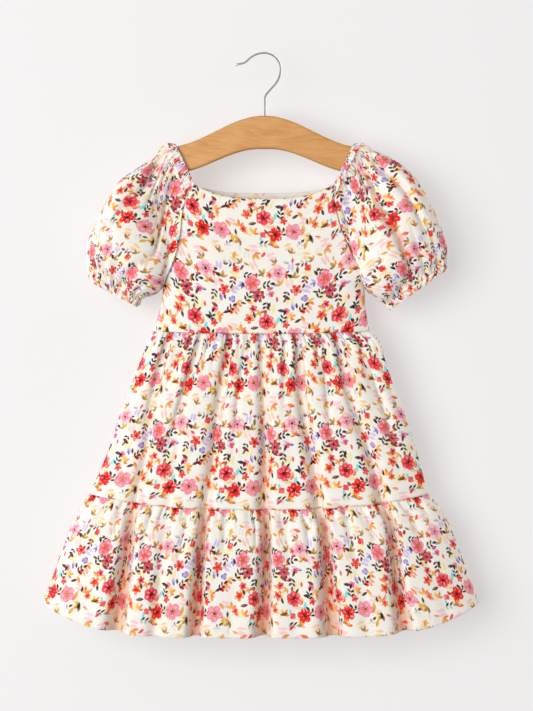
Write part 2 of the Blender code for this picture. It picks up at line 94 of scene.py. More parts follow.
# %% Shader maths
class Wire:
    """A socket of a material's node tree. Arithmetic on it adds Math nodes."""

    def __init__(self, tree, socket):
        self.tree = tree
        self.socket = socket

    def node(self, kind, inputs=(), output=0, ramp=None, **settings):
        """A node of this tree: its settings first, then values or wires for its sockets."""
        made = self.tree.nodes.new("ShaderNode" + kind)
        for name, value in settings.items():
            setattr(made, name, value)
        if ramp:
            fill_ramp(made.color_ramp, ramp)
        pairs = inputs.items() if isinstance(inputs, dict) else enumerate(inputs)
        for name, value in pairs:
            if isinstance(value, Wire):
                self.tree.links.new(value.socket, made.inputs[name])
            elif value is not None:
                made.inputs[name].default_value = value
        return Wire(self.tree, made.outputs[output])

    def other(self, output):
        """Another output of the node that this wire comes from."""
        return Wire(self.tree, self.socket.node.outputs[output])

    def math(self, operation, *others):
        return self.node("Math", (self, *others), operation=operation)

    def vector(self, operation, *others, output=0):
        return self.node("VectorMath", (self, *others), output, operation=operation)

    def mixed(self, over, share):
        """This colour, covered by another as far as share says."""
        return self.node("Mix", {0: share, 6: self, 7: over}, 2, data_type="RGBA")

    def parts(self):
        """The x, y and z of a vector."""
        x = self.node("SeparateXYZ", (self,))
        return x, x.other(1), x.other(2)

    def __add__(self, other):
        return self.math("ADD", other)

    def __sub__(self, other):
        return self.math("SUBTRACT", other)

    def __rsub__(self, other):
        return self.node("Math", (other, self), operation="SUBTRACT")

    def __mul__(self, other):
        return self.math("MULTIPLY", other)

    def __truediv__(self, other):
        return self.math("DIVIDE", other)

    def __abs__(self):
        return self.math("ABSOLUTE")

    __radd__ = __add__
    __rmul__ = __mul__


def fill_ramp(ramp, stops):
    """Gives a colour ramp its stops: rows of place and colour, after its interpolation."""
    interpolation, rows = stops
    ramp.interpolation = interpolation
    while len(ramp.elements) < len(rows):
        ramp.elements.new(0.5)
    for element, (place, colour) in zip(ramp.elements, rows):
        element.position = place
        element.color = (*colour, 1.0)[:4]


def new_material(name):
    """A material with nodes, its Principled shader, and a wire to start its maths from."""
    material = bpy.data.materials.new(name)
    material.use_nodes = True
    tree = material.node_tree
    return material, tree.nodes["Principled BSDF"], Wire(tree, None)


def feed(shader, tree, **sockets):
    """Sets the shader's sockets: numbers stay on the socket, wires are linked to it."""
    for name, value in sockets.items():
        socket = shader.inputs[name.replace("_", " ")]
        if isinstance(value, Wire):
            tree.links.new(value.socket, socket)
        else:
            socket.default_value = value


# %% Wall, floor and lamps
WALL_GAP = 0.012         # between the back of the skirt and the wall
FLOOR_Z = cad_low.z - 0.75
WALL_GREY = (0.42, 0.42, 0.423)
FLOOR_GREY = (0.42, 0.42, 0.42)
GLOW = 0.43              # how brightly wall and floor shine by themselves
ROOM_COLOUR = (1.0, 0.955, 0.94, 1.0)
ROOM_STRENGTH = 0.37
LAMPS = (
    # name, place, size, power, colour
    ("key", (-2.7, -4.4, 0.0), 3.8, 258.0, (1.0, 0.985, 0.97)),
    ("rear", (1.2, 2.6, 0.9), 2.0, 40.0, (1.0, 0.99, 0.98)),
    ("left rim", (-3.0, 0.8, -0.3), 2.0, 60.0, (1.0, 0.99, 0.98)),
    ("right rim", (3.0, 0.8, -0.3), 2.0, 40.0, (1.0, 0.99, 0.98)),
)


def see_through_behind(name, colour):
    """A matt finish on the front of a sheet, which glows a little, and nothing on its back."""
    material, shader, start = new_material(name)
    tree = material.node_tree
    feed(shader, tree, Base_Color=(*colour, 1.0), Roughness=0.9, Emission_Color=(1.0, 1.0, 1.0, 1.0),
         Emission_Strength=GLOW)
    behind = start.node("NewGeometry", output="Backfacing")
    clear = start.node("BsdfTransparent")
    mix = start.node("MixShader", {0: behind, 1: Wire(tree, shader.outputs[0]), 2: clear})
    tree.links.new(mix.socket, tree.nodes["Material Output"].inputs["Surface"])
    return material


def backdrop(name, corners, colour):
    """A large sheet behind or below the object, which casts no shade of its own."""
    mesh = bpy.data.meshes.new(name)
    mesh.from_pydata(corners, [], [(0, 1, 2, 3)])
    mesh.materials.append(see_through_behind(name, colour))
    sheet = bpy.data.objects.new(name, mesh)
    bpy.context.scene.collection.objects.link(sheet)
    sheet.visible_shadow = False
    sheet.visible_diffuse = False
    sheet.visible_glossy = False


def soft_lamp(name, place, size, power, colour):
    """A square lamp that faces the dress."""
    data = bpy.data.lights.new(name, "AREA")
    data.size = size
    data.energy = power
    data.color = colour
    lamp = bpy.data.objects.new(name, data)
    lamp.location = place
    aim = np.array(AIM) - np.array(place)
    flat = math.hypot(aim[0], aim[1])
    lamp.rotation_euler = (math.atan2(flat, -aim[2]), 0.0, math.atan2(aim[1], aim[0]) - math.pi / 2)
    bpy.context.scene.collection.objects.link(lamp)
    lamp.visible_camera = False


wall_y = cad_high.y + WALL_GAP
backdrop("wall", [(-3, wall_y, -3), (3, wall_y, -3), (3, wall_y, 3), (-3, wall_y, 3)], WALL_GREY)
backdrop("floor", [(-4, -4, FLOOR_Z), (4, -4, FLOOR_Z), (4, 4, FLOOR_Z), (-4, 4, FLOOR_Z)], FLOOR_GREY)
for lamp in LAMPS:
    soft_lamp(*lamp)

world = bpy.data.worlds.new("studio")
world.use_nodes = True
world.node_tree.nodes["Background"].inputs["Color"].default_value = ROOM_COLOUR
world.node_tree.nodes["Background"].inputs["Strength"].default_value = ROOM_STRENGTH
bpy.context.scene.world = world
bpy.context.scene.view_settings.view_transform = "Standard"
print("wall at y =", round(wall_y, 3))

# %% [markdown]
# ## From tables to fine cloth
#
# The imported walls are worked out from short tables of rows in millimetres. The shells
# here use the same rows, with a smooth curve run through each column of a table, so they
# lie on the same form at a much finer grid. Each shell is a function of two parameters:
# how far down the cloth, and how far across it. Every piece also gets a map of its own
# cut cloth, in metres, so that the print keeps its true size and is squeezed together
# where the cloth is gathered, as on the real dress. Front and back, left and right are
# cut from different stretches of the print, so nothing is a mirror image.

# %% Smooth tables
MM = 0.001
CLOTH_THICKNESS = 0.9    # in millimetres


def smooth(at, places, values):
    """A smooth curve through a table: cubic pieces that share their slopes."""
    at, places = np.asarray(at, float), np.asarray(places, float)
    values = np.asarray(values, float)
    slopes = np.gradient(values, places, axis=0)
    first = np.clip(np.searchsorted(places, at, side="right") - 1, 0, len(places) - 2)
    step = places[first + 1] - places[first]
    s = (at - places[first]) / step
    if values.ndim > 1:
        shape = s.shape + (1,) * (values.ndim - 1)
        s, step = s.reshape(shape), step.reshape(shape)
    return ((2 * s**3 - 3 * s**2 + 1) * values[first] + (s**3 - 2 * s**2 + s) * step * slopes[first]
            + (3 * s**2 - 2 * s**3) * values[first + 1] + (s**3 - s**2) * step * slopes[first + 1])


def crowded(count, places=()):
    """Fractions from 0 to 1 that lie closer together at both ends and near some places."""
    fine = np.linspace(0.0, 1.0, 4001)
    density = 1 + 1.2 * np.exp(-fine / 0.04) + 1.2 * np.exp(-(1 - fine) / 0.04)
    for place in places:
        density += 1.9 * np.exp(-((fine - place) / 0.024) ** 2)
    total = np.concatenate([[0.0], np.cumsum((density[1:] + density[:-1]) / 2)])
    return np.interp(np.linspace(0, 1, count), total / total[-1], fine)


def dome(t, power):
    """1 in the middle of a panel, rounding down to 0 at both ends."""
    return np.sqrt(np.clip(1 - np.abs(2 * t - 1) ** power, 0, None))


def lengths(points, axis):
    """Distance run along one direction of a grid, from 0 at its first row or column."""
    steps = np.linalg.norm(np.diff(points, axis=axis), axis=-1)
    return np.concatenate([np.zeros_like(np.take(steps, [0], axis)), np.cumsum(steps, axis)], axis)


def across(points, closed):
    """Neighbour to neighbour, along the columns."""
    if closed:
        return np.roll(points, -1, axis=1) - np.roll(points, 1, axis=1)
    return np.gradient(points, axis=1)


def outwards(points, core, closed=False):
    """Unit normals of a grid, on the side away from the core points."""
    normal = np.cross(across(points, closed), np.gradient(points, axis=0))
    normal /= np.maximum(np.linalg.norm(normal, axis=-1, keepdims=True), 1e-9)
    return normal * np.sign(np.sum(normal * (points - core)))


# %% [markdown]
# ## Gathers and creases
#
# Where a longer edge is drawn up and sewn to a shorter one, the cloth stands in small
# uneven folds. Sharp little valleys start at the stitches, widen, and die out at different
# distances. They could be simulated, but a simulation would move the whole garment. Here
# each one is a soft trough: deepest near the seam, with its own place, depth and length,
# drawn along the threads of the cloth, which fan out from the seam by themselves.

# %% Troughs in the cloth
def troughs(run, down, places, depths, reaches, width, spread=0.12, rise=2.5, power=1.7):
    """How far a row of gathers sets the cloth back, in millimetres.

    run is each point's distance across the cloth, down its distance from the seam, and
    places the gathers' places as columns. A gather's depth grows over rise from the seam
    and fades over its reach, while its width grows by spread for each millimetre down.
    Across, it is depth times exp(-|distance / width| ** power).
    """
    column = np.clip(places, 0, run.shape[1] - 1.001)
    low = column.astype(int)
    share = column - low
    centre = run[:, low] * (1 - share) + run[:, low + 1] * share
    fall = down[:, low]
    total = np.zeros_like(run)
    for i in range(len(low)):
        depth = depths[i] * (1 - 0.75 * np.exp(-fall[:, i] / rise))
        depth = depth * np.exp(-(fall[:, i] / reaches[i]) ** 2)
        wide = width + spread * fall[:, i]
        total += depth[:, None] * np.exp(-np.abs((run - centre[:, i:i + 1]) / wide[:, None]) ** power)
    return total


def scattered(random, count, low, high, start=0.0, end=1.0):
    """Uneven gathers: places between start and end, depths, and short and long reaches."""
    shift = random.uniform(-0.38, 0.38, count)
    places = start + (end - start) * (np.arange(count) + 0.5 + shift) / count
    depths = random.uniform(0.45, 1.0, count)
    reaches = low + (high - low) * random.uniform(0.0, 1.0, count) ** 1.8
    return places, depths, reaches


def by_length(run, place):
    """Where shares of each row's length lie."""
    return run[:, -1:] * place


def by_thread(run, place):
    """Where shares of the columns lie, one to a row."""
    column = np.clip(place * (run.shape[1] - 1), 0, run.shape[1] - 1.001)
    low = column.astype(int)
    at_low, after = np.take_along_axis(run, low, 1), np.take_along_axis(run, low + 1, 1)
    return at_low + (after - at_low) * (column - low)


def creases(run, share_down, table, find=by_length, lean=0.0):
    """Longer single creases: a path of places at even steps along the crease, its start
    and end down the piece, width and depth. Each fades at both its ends, and lean makes
    one of its sides wider than the other."""
    total = np.zeros_like(run)
    for path, start, end, width, depth in table:
        s = np.clip((share_down - start) / (end - start), 0.0, 1.0)
        distance = run - find(run, smooth(s, np.linspace(0, 1, len(path)), path))
        wide = width * (1 - lean * np.sign(distance))
        total += depth * np.sin(math.pi * s) ** 0.8 * np.exp(-np.abs(distance / wide) ** 1.7)
    return total


# %% Putting a grid into a mesh
def cloth_piece(node, points, core, flat, closed=False):
    """The shell that stands for a packed wall, from a grid of points in millimetres.

    core holds points inside the garment, which its inner face looks at. flat holds each
    point's place on the cut cloth in metres; a closed grid's map has one column more than
    its points, because the seam has two edges on the cloth.
    """
    name = node + "_cloth"
    rows, columns = points.shape[:2]
    face_columns = columns if closed else columns - 1
    i, j = np.meshgrid(np.arange(rows - 1), np.arange(face_columns), indexing="ij")
    corners = np.stack([i * columns + j, i * columns + (j + 1) % columns,
                        (i + 1) * columns + (j + 1) % columns, (i + 1) * columns + j], -1)
    map_corners = np.stack([flat[i, j], flat[i, j + 1], flat[i + 1, j + 1], flat[i + 1, j]], -2)
    a, b, d = (points.reshape(-1, 3)[corners[..., k]] for k in (0, 1, 3))
    middle = core.reshape(-1, 3)[corners[..., 0]]
    if np.sum(np.cross(b - a, d - a) * (a - middle)) < 0:
        corners, map_corners = corners[..., ::-1], map_corners[..., ::-1, :]
    faces = corners.reshape(-1, 4)
    mesh = bpy.data.meshes.new(name)
    mesh.vertices.add(rows * columns)
    mesh.vertices.foreach_set("co", (points * MM).astype(np.float32).ravel())
    mesh.loops.add(faces.size)
    mesh.loops.foreach_set("vertex_index", faces.astype(np.int32).ravel())
    mesh.polygons.add(len(faces))
    mesh.polygons.foreach_set("loop_start", np.arange(0, faces.size, 4, dtype=np.int32))
    mesh.polygons.foreach_set("loop_total", np.full(len(faces), 4, dtype=np.int32))
    mesh.update(calc_edges=True)
    cloth_map = mesh.uv_layers.new(name="cloth")
    cloth_map.data.foreach_set("uv", map_corners.astype(np.float32).ravel())
    mesh.shade_smooth()
    piece = bpy.data.objects.new(name, mesh)
    bpy.context.scene.collection.objects.link(piece)
    shell = piece.modifiers.new("thickness", "SOLIDIFY")
    shell.thickness = CLOTH_THICKNESS * MM
    shell.offset = -1.0
    shell.material_offset = 1
    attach(piece, "root")
    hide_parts(node)
    print(name, rows, "x", columns, "grid")
    return piece


# %% [markdown]
# ## The skirt's two tiers
#
# Each tier is one gathered strip in front and one behind, joined at the sides. The form
# of a row is a flattened dome from side seam to side seam, set back by the largest folds.
# The folds are valleys that start as gathers at the waist, pass the tier seam and are
# deepest at the hem. Smaller gathers start afresh under each seam.

# %% Tables of the skirt
HALF_SEAM = 0.15         # from the middle plane to the cloth at the side seams
SIDE_POWER = 4.0
DIP_LEVELS, DIP_POWERS = (0.0, 2.0, 4.0), (3.0, 2.6, 4.5)

# The level runs 0 at the waist, 2 at the tier seam, 4 at the hem.
SKIRT = (
    # level, side z, left x, right x, dip, front out, back out
    (0.0, -360.5, -145.0, 137.0, 3.5, 16.0, 15.0),
    (0.15, -371.0, -150.5, 147.5, 4.0, 18.5, 17.0),
    (0.45, -392.0, -158.5, 155.0, 6.0, 21.5, 19.5),
    (0.8, -422.0, -170.0, 165.0, 8.5, 24.5, 22.0),
    (1.15, -462.0, -186.0, 180.0, 11.5, 27.5, 25.0),
    (1.6, -516.0, -203.5, 197.5, 15.5, 30.5, 27.5),
    (2.0, -571.0, -227.0, 213.0, 19.0, 32.5, 29.5),
)
RUFFLE = (
    (2.0, -571.3, -227.0, 213.0, 19.0, 32.5, 29.5),
    (2.2, -585.0, -236.5, 224.5, 19.5, 36.0, 32.0),
    (2.6, -612.0, -250.5, 240.5, 21.5, 39.5, 35.0),
    (3.0, -645.0, -263.5, 253.5, 25.5, 42.5, 37.5),
    (3.5, -680.0, -275.5, 266.5, 32.0, 45.5, 40.0),
    (4.0, -711.0, -288.0, 279.0, 41.5, 47.5, 42.0),
)

# The largest folds: places are fractions of the width, left to right.
FRONT_FOLDS = (
    # place at waist, level 1, seam, level 3, hem;
    # depth at waist, seam, just under the seam, level 3, hem;
    # width at waist, seam, just under it, hem
    (0.083, 0.106, 0.140, 0.165, 0.174, 5.0, 12.0, 21.0, 26.0, 28.0, 5.5, 7.5, 6.0, 10.5),
    (0.235, 0.212, 0.235, 0.255, 0.262, 3.0, 3.0, 5.0, 7.0, 9.0, 5.0, 7.0, 6.0, 9.0),
    (0.352, 0.342, 0.346, 0.350, 0.353, 5.5, 14.0, 21.0, 26.0, 28.0, 5.5, 7.5, 5.2, 8.0),
    (0.496, 0.508, 0.516, 0.515, 0.507, 6.0, 19.0, 25.0, 28.0, 30.0, 4.6, 7.0, 5.4, 9.0),
    (0.655, 0.652, 0.676, 0.668, 0.667, 5.5, 15.0, 24.0, 27.0, 29.0, 5.5, 7.5, 5.4, 11.5),
    (0.826, 0.838, 0.862, 0.838, 0.828, 5.0, 13.0, 20.0, 24.0, 26.0, 5.5, 7.5, 5.2, 9.5),
)
BACK_FOLDS = (
    (0.120, 0.138, 0.150, 0.160, 0.164, 3.5, 9.0, 22.0, 31.0, 34.0, 6.0, 8.5, 5.5, 8.0),
    (0.290, 0.300, 0.318, 0.330, 0.335, 4.0, 11.0, 26.0, 34.0, 37.0, 6.0, 8.5, 5.0, 8.0),
    (0.405, 0.410, 0.425, 0.432, 0.440, 3.5, 4.0, 6.0, 8.0, 10.0, 5.0, 8.0, 7.0, 9.0),
    (0.520, 0.535, 0.548, 0.556, 0.560, 4.0, 12.0, 28.0, 36.0, 39.0, 6.0, 8.5, 5.0, 8.0),
    (0.690, 0.700, 0.708, 0.716, 0.722, 4.0, 10.0, 25.0, 33.0, 36.0, 6.0, 8.5, 5.0, 8.6),
    (0.845, 0.850, 0.858, 0.862, 0.860, 3.5, 9.0, 22.0, 29.0, 32.0, 6.0, 8.0, 5.0, 7.6),
)
FOLD_LEVELS, FOLD_POWERS = (0.0, 2.0, 2.3, 4.0), (1.6, 1.7, 1.9, 2.1)    # 2 is round-bottomed
FOLD_NEAR, FOLD_FAR = 1.15, 0.85     # a fold is wider on its left side, steeper on its right


# %% The form of a tier
def fold_depth(level, x, left, right, folds):
    """The largest folds' troughs, depth * exp(-|distance / width| ** power)."""
    total = np.zeros_like(x)
    power = np.interp(level, FOLD_LEVELS, FOLD_POWERS)[:, None]
    for fold in folds:
        place = smooth(level, (0, 1, 2, 3, 4), fold[0:5])[:, None]
        depth = np.interp(level, (0, 2, 2.3, 3, 4), fold[5:10])[:, None]
        width = np.interp(level, (0, 2, 2.3, 4), fold[10:14])[:, None]
        distance = x - (left + (right - left) * place)
        width = width * np.where(distance < 0, FOLD_NEAR, FOLD_FAR)
        total += depth * np.exp(-np.abs(distance / width) ** power)
    return total


def tier_form(table, side, folds, rows, columns):
    """A tier without its gathers: points of its outer face, and how deep in a fold each is."""
    table = np.array(table)
    level = table[0, 0] + (table[-1, 0] - table[0, 0]) * np.linspace(0, 1, rows) ** 1.25
    z, left, right, dip, front, back = smooth(level, table[:, 0], table[:, 1:]).T[:, :, None]
    t = crowded(columns, [fold[3] for fold in folds])[None, :]
    power = np.interp(level, DIP_LEVELS, DIP_POWERS)[:, None]
    x = left + (right - left) * t
    z = z - dip * (1 - np.abs(2 * t - 1) ** power)
    out = (front if side < 0 else back) * dome(t, SIDE_POWER)
    in_fold = fold_depth(level, x, left, right, folds)
    out = np.maximum(out - in_fold, 0.0)
    return np.stack([x, side * (out + HALF_SEAM), z], -1), in_fold


def ends_fade(run, reach):
    """0 at both ends of each row and 1 inside, so that neighbours still meet."""
    from_end = np.minimum(run, run[:, -1:] - run)
    return np.clip(from_end / reach, 0.0, 1.0) ** 0.7


def cut_map(points, width, down, top=0.0):
    """The cut cloth, in metres: each row takes up the whole cut width. Neighbouring rows
    are averaged, as threads run nearly straight down through the start of a fold."""
    run = lengths(points, 1)
    number = np.arange(len(points))
    near = np.exp(-((number[:, None] - number) / THREAD_REACH) ** 2)
    share = near / near.sum(axis=1, keepdims=True) @ (run / run[:, -1:])
    return np.stack([share * width, top + down * MM], -1)


def right_way_round(flat, turned, shift):
    """The map turned about, and from another stretch of the print, where it would
    otherwise be a mirror image."""
    if turned:
        flat[..., 0] = shift - flat[..., 0]
    return flat


# %% Gathers of the tiers
SKIRT_CUT = 0.493        # width of the cut strip, in metres
RUFFLE_CUT = 0.800
# A fold this deep gets the full painted shade in the cotton's colour.
DEEP_FOLD = 24.0         # from here on a fold counts as deep, in millimetres
THREAD_REACH = 11.0      # rows over which the map is evened out
BACK_SHIFT = 1.235       # the back panels come from another stretch of the print, in metres
SEAM_ROLL = 0.35         # how far a plain sewn edge rolls in
SEAM_ROLL_REACH = 1.2
TUCK = 0.35              # how far a gathered edge goes in, below the piece above it
TUCK_REACH = 1.0
SEAM_GAP = 0.3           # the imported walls' gap at a seam, which the first row of a tier closes
GATHER_WIDTH, GATHER_SPREAD = 2.3, 0.060

# The plainer gathers under the front waist: fractions of the width, how far down each
# one runs, and its depth, in millimetres.
WAIST_GATHERS = (
    (0.030, 30, 4.0), (0.083, 85, 5.5), (0.114, 24, 3.5), (0.148, 60, 6.5), (0.185, 26, 3.0),
    (0.226, 62, 5.5), (0.257, 40, 4.0), (0.296, 42, 5.0), (0.350, 95, 6.5), (0.395, 28, 3.0),
    (0.439, 80, 6.0), (0.492, 44, 5.0), (0.537, 60, 6.0), (0.566, 24, 3.5), (0.594, 52, 5.0),
    (0.648, 100, 7.0), (0.690, 24, 3.5), (0.730, 48, 7.0), (0.764, 85, 5.5), (0.824, 105, 7.0),
    (0.865, 28, 4.0), (0.916, 85, 6.0), (0.960, 50, 4.0),
)
# Longer creases that start with the gathers: places along the crease, start and end as
# shares of the way down, width and depth.
FRONT_LINES = (
    ((0.083, 0.100, 0.105), -0.30, 0.62, 4.0, 3.5),
    ((0.150, 0.140, 0.150), -0.25, 0.50, 4.0, 4.0),
    ((0.235, 0.215, 0.190), -0.25, 0.80, 4.5, 5.5),
    ((0.440, 0.412, 0.400), -0.25, 0.75, 4.0, 4.6),
    ((0.600, 0.580), -0.20, 0.50, 4.0, 4.0),
    ((0.770, 0.745, 0.728), -0.25, 0.80, 4.5, 4.6),
    ((0.915, 0.928, 0.925), -0.25, 0.85, 5.0, 5.0),
    ((0.970, 0.975), -0.20, 0.55, 4.0, 3.0),
    ((0.425, 0.430), 0.45, 1.20, 9.0, 1.2),
    ((0.590, 0.600), 0.45, 1.20, 9.0, 1.2),
    ((0.770, 0.765), 0.45, 1.20, 8.0, 1.2),
)
BACK_LINES = (
    ((0.080, 0.070), -0.25, 0.80, 5.0, 4.2),
    ((0.215, 0.225), -0.20, 0.65, 4.5, 4.6),
    ((0.350, 0.372), -0.25, 0.75, 4.0, 4.2),
    ((0.465, 0.480), -0.20, 0.55, 4.0, 4.0),
    ((0.605, 0.622), -0.25, 0.80, 4.5, 5.0),
    ((0.770, 0.785), -0.20, 0.60, 4.0, 4.2),
    ((0.925, 0.935), -0.25, 0.85, 5.0, 4.0),
    ((0.240, 0.235), 0.40, 1.20, 8.0, 2.4),
    ((0.640, 0.630), 0.45, 1.20, 9.0, 2.4),
)
RUFFLE_FRONT_LINES = (
    ((0.055, 0.070), -0.20, 0.75, 7.0, 2.8),
    ((0.105, 0.100), -0.15, 0.35, 4.0, 4.2),
    ((0.200, 0.205), -0.20, 0.42, 4.0, 4.0),
    ((0.285, 0.280), -0.20, 0.50, 4.5, 3.8),
    ((0.400, 0.412), -0.20, 0.45, 5.0, 3.4),
    ((0.462, 0.470), -0.15, 0.35, 4.0, 4.0),
    ((0.575, 0.582), -0.20, 0.55, 6.0, 3.2),
    ((0.620, 0.618), -0.15, 0.40, 4.0, 4.2),
    ((0.745, 0.752), -0.20, 0.55, 6.0, 3.6),
    ((0.800, 0.790), -0.15, 0.35, 4.0, 3.8),
    ((0.925, 0.915), -0.20, 0.70, 7.0, 3.0),
    ((0.090, 0.085), 0.40, 1.20, 10.0, 2.4),
    ((0.435, 0.430), 0.50, 1.20, 9.0, 2.2),
    ((0.595, 0.585), 0.50, 1.20, 10.0, 2.6),
    ((0.755, 0.745), 0.45, 1.20, 9.0, 2.6),
    ((0.930, 0.920), 0.50, 1.20, 9.0, 2.4),
)
RUFFLE_BACK_LINES = (
    ((0.070, 0.075), -0.20, 0.80, 6.0, 4.0),
    ((0.215, 0.225), -0.20, 0.60, 5.0, 4.2),
    ((0.270, 0.262), -0.15, 0.45, 4.0, 4.0),
    ((0.385, 0.380), -0.20, 0.75, 6.0, 4.0),
    ((0.480, 0.488), -0.15, 0.50, 4.0, 4.2),
    ((0.610, 0.625), -0.20, 0.85, 7.0, 4.0),
    ((0.660, 0.655), -0.15, 0.40, 4.0, 3.8),
    ((0.785, 0.792), -0.20, 0.75, 6.0, 4.0),
    ((0.930, 0.925), -0.20, 0.85, 6.0, 3.8),
    ((0.245, 0.240), 0.45, 1.20, 10.0, 3.0),
    ((0.500, 0.505), 0.50, 1.20, 9.0, 2.6),
    ((0.640, 0.645), 0.50, 1.20, 10.0, 3.0),
)


def gathered(run, down, random, plan, start=0.0, end=1.0):
    """Every row of a plan adds one set of gathers: count, depth, shortest and longest
    reach, width at the seam, and how fast it widens."""
    total = np.zeros_like(run)
    for count, depth, low, high, width, spread in plan:
        places, share, reaches = scattered(random, count, low, high, start, end)
        columns = np.interp(places, run[0] / run[0, -1], np.arange(run.shape[1]))
        total += troughs(run, down, columns, depth * share, reaches, width, spread)
    return total


def mark_fold_shade(piece, depth):
    """Stores how deep in a fold each point lies, as a share of a deep one. The cotton paints warmer,
    darker shade into the folds by this share.
    """
    share = np.clip(depth / DEEP_FOLD, 0, 1) ** 1.5
    numbers = piece.data.attributes.new("fold", "FLOAT", "POINT")
    numbers.data.foreach_set("value", share.astype(np.float32).ravel())


def build_tier(node, strip, side, seed, plan, lines, gathers=()):
    """A tier with its gathers and longer creases pushed in along its normals."""
    random = np.random.default_rng(seed)
    table, cut, phase, grid = strip
    form, in_fold = tier_form(table, side, FRONT_FOLDS if side < 0 else BACK_FOLDS, *grid)
    core = form * (1.0, 0.0, 1.0)
    run, down = lengths(form, 1), lengths(form, 0)
    dent = gathered(run, down, random, plan)
    if gathers:
        places, reaches, depths = np.array(gathers).T
        width = form[0, :, 0] - form[0, 0, 0]
        places = np.interp(places, width / width[-1], np.arange(len(width)))
        dent += troughs(run, down, places, depths, reaches, GATHER_WIDTH, GATHER_SPREAD)
    dent += creases(run, down / down[-1:], lines) * (1 - 0.7 * np.exp(-down / 3.0))
    dent *= ends_fade(run, 14.0)
    dent += TUCK * np.exp(-down / TUCK_REACH)
    points = form - outwards(form, core) * dent[..., None]
    points[..., 1] = side * np.maximum(side * points[..., 1], HALF_SEAM)
    points[0, :, 2] += SEAM_GAP
    flat = right_way_round(cut_map(points, cut, down, -phase), side > 0, BACK_SHIFT)
    piece = cloth_piece(node, points, core, flat)
    mark_fold_shade(piece, in_fold)
    return piece


# count, depth, shortest and longest reach, width, spread
WAIST_PLAN = ((22, 3.0, 14, 46, 1.9, 0.08), (46, 1.4, 6, 20, 1.1, 0.06))
BACK_WAIST_PLAN = ((24, 4.2, 24, 75, 2.3, 0.08), (20, 3.0, 14, 46, 1.9, 0.08),
                   (46, 1.4, 6, 20, 1.1, 0.06))
TIER_PLAN = ((26, 4.2, 18, 58, 2.4, 0.09), (30, 2.8, 10, 30, 1.8, 0.08), (60, 1.4, 5, 14, 1.2, 0.06))
SKIRT_PHASE = 0.093      # from the waist to the middle of the print's pale band, in metres
RUFFLE_PHASE = 0.026     # from the tier seam to the middle of the band
# What a tier's front and back share: table, cut, phase, and rows and columns of the grid.
SKIRT_STRIP = (SKIRT, SKIRT_CUT, SKIRT_PHASE, (105, 320))
RUFFLE_STRIP = (RUFFLE, RUFFLE_CUT, RUFFLE_PHASE, (84, 400))

tiers = [
    build_tier("skirt_front", SKIRT_STRIP, -1, 11, WAIST_PLAN, FRONT_LINES, WAIST_GATHERS),
    build_tier("skirt_back", SKIRT_STRIP, 1, 12, BACK_WAIST_PLAN, BACK_LINES),
    build_tier("ruffle_front", RUFFLE_STRIP, -1, 13, TIER_PLAN, RUFFLE_FRONT_LINES),
    build_tier("ruffle_back", RUFFLE_STRIP, 1, 14, TIER_PLAN, RUFFLE_BACK_LINES),
]

# %% [markdown]
# ## The bodice
#
# Front and back are plain panels, cut with slanting raglan sides where the sleeves are
# sewn in. A row is again a dome, but its raglan ends stand out from the middle plane,
# where they meet the sleeves. The cloth is nearly smooth: only long shallow creases run
# from the underarms, with a few puckers along the seams.

# %% Table and form of the bodice
# The first row is the neck edge and the last is the waist seam.
BODICE = (
    # side z, left x, right x, edge out, front crown, back crown, front dip, back dip
    (-170.5, -90.0, 90.0, 13.0, 3.0, 2.0, 18.5, 9.5),
    (-187.0, -101.5, 90.5, 14.0, 3.2, 2.0, 15.0, 8.5),
    (-203.0, -105.5, 93.0, 15.0, 3.2, 2.0, 12.0, 7.6),
    (-222.0, -108.5, 97.5, 15.5, 3.0, 2.0, 9.0, 7.0),
    (-240.0, -111.0, 104.0, 16.0, 2.8, 2.0, 7.0, 6.0),
    (-258.0, -115.5, 112.0, 15.5, 3.0, 2.5, 5.0, 5.0),
    (-275.0, -120.5, 120.0, 14.0, 4.2, 3.6, 4.0, 4.0),
    (-290.0, -126.0, 126.5, 10.0, 7.6, 7.0, 3.5, 3.5),
    (-304.0, -131.5, 129.5, 0.0, 17.2, 16.4, 3.5, 3.5),
    (-322.0, -133.5, 131.0, 0.0, 16.6, 15.8, 3.5, 3.5),
    (-341.0, -138.5, 133.0, 0.0, 16.2, 15.4, 3.5, 3.5),
    (-360.2, -145.0, 137.0, 0.0, 16.0, 15.0, 3.5, 3.5),
)
CASING_END_ROW = 1       # the neck casing's outer edge meets the raglan seam here
UNDERARM_ROW = 8
NECK_DIP_POWER = 3.0

# Long shallow creases: places along the crease, start and end down the panel as shares,
# width and depth in millimetres. Negative depths are ridges.
FRONT_CREASES = (
    ((0.06, 0.20), 0.30, 0.95, 9.0, 1.0),
    ((0.12, 0.34), 0.22, 0.70, 12.0, -0.8),
    ((0.93, 0.80), 0.34, 0.98, 10.0, 1.1),
    ((0.88, 0.66), 0.25, 0.72, 13.0, -0.8),
    ((0.30, 0.26), 0.55, 1.00, 11.0, 0.7),
    ((0.52, 0.50), 0.40, 1.00, 16.0, -0.7),
    ((0.72, 0.75), 0.60, 1.00, 9.0, 0.6),
    ((0.08, 0.30), 0.00, 0.30, 8.0, 0.7),
    ((0.92, 0.72), 0.00, 0.28, 8.0, 0.7),
)
BACK_CREASES = (
    ((0.08, 0.24), 0.32, 0.98, 10.0, 1.1),
    ((0.92, 0.78), 0.30, 0.95, 10.0, 1.0),
    ((0.40, 0.36), 0.30, 0.90, 14.0, -0.8),
    ((0.58, 0.63), 0.45, 1.00, 12.0, 0.7),
    ((0.20, 0.16), 0.05, 0.55, 9.0, 0.6),
)
BODICE_GRID = (80, 150)
SEAM_PUCKERS = ((34, 0.5, 4, 10, 1.3, 0.08),)
BODICE_PHASE = 74.0      # from the front neck edge to the print's pale band, in millimetres


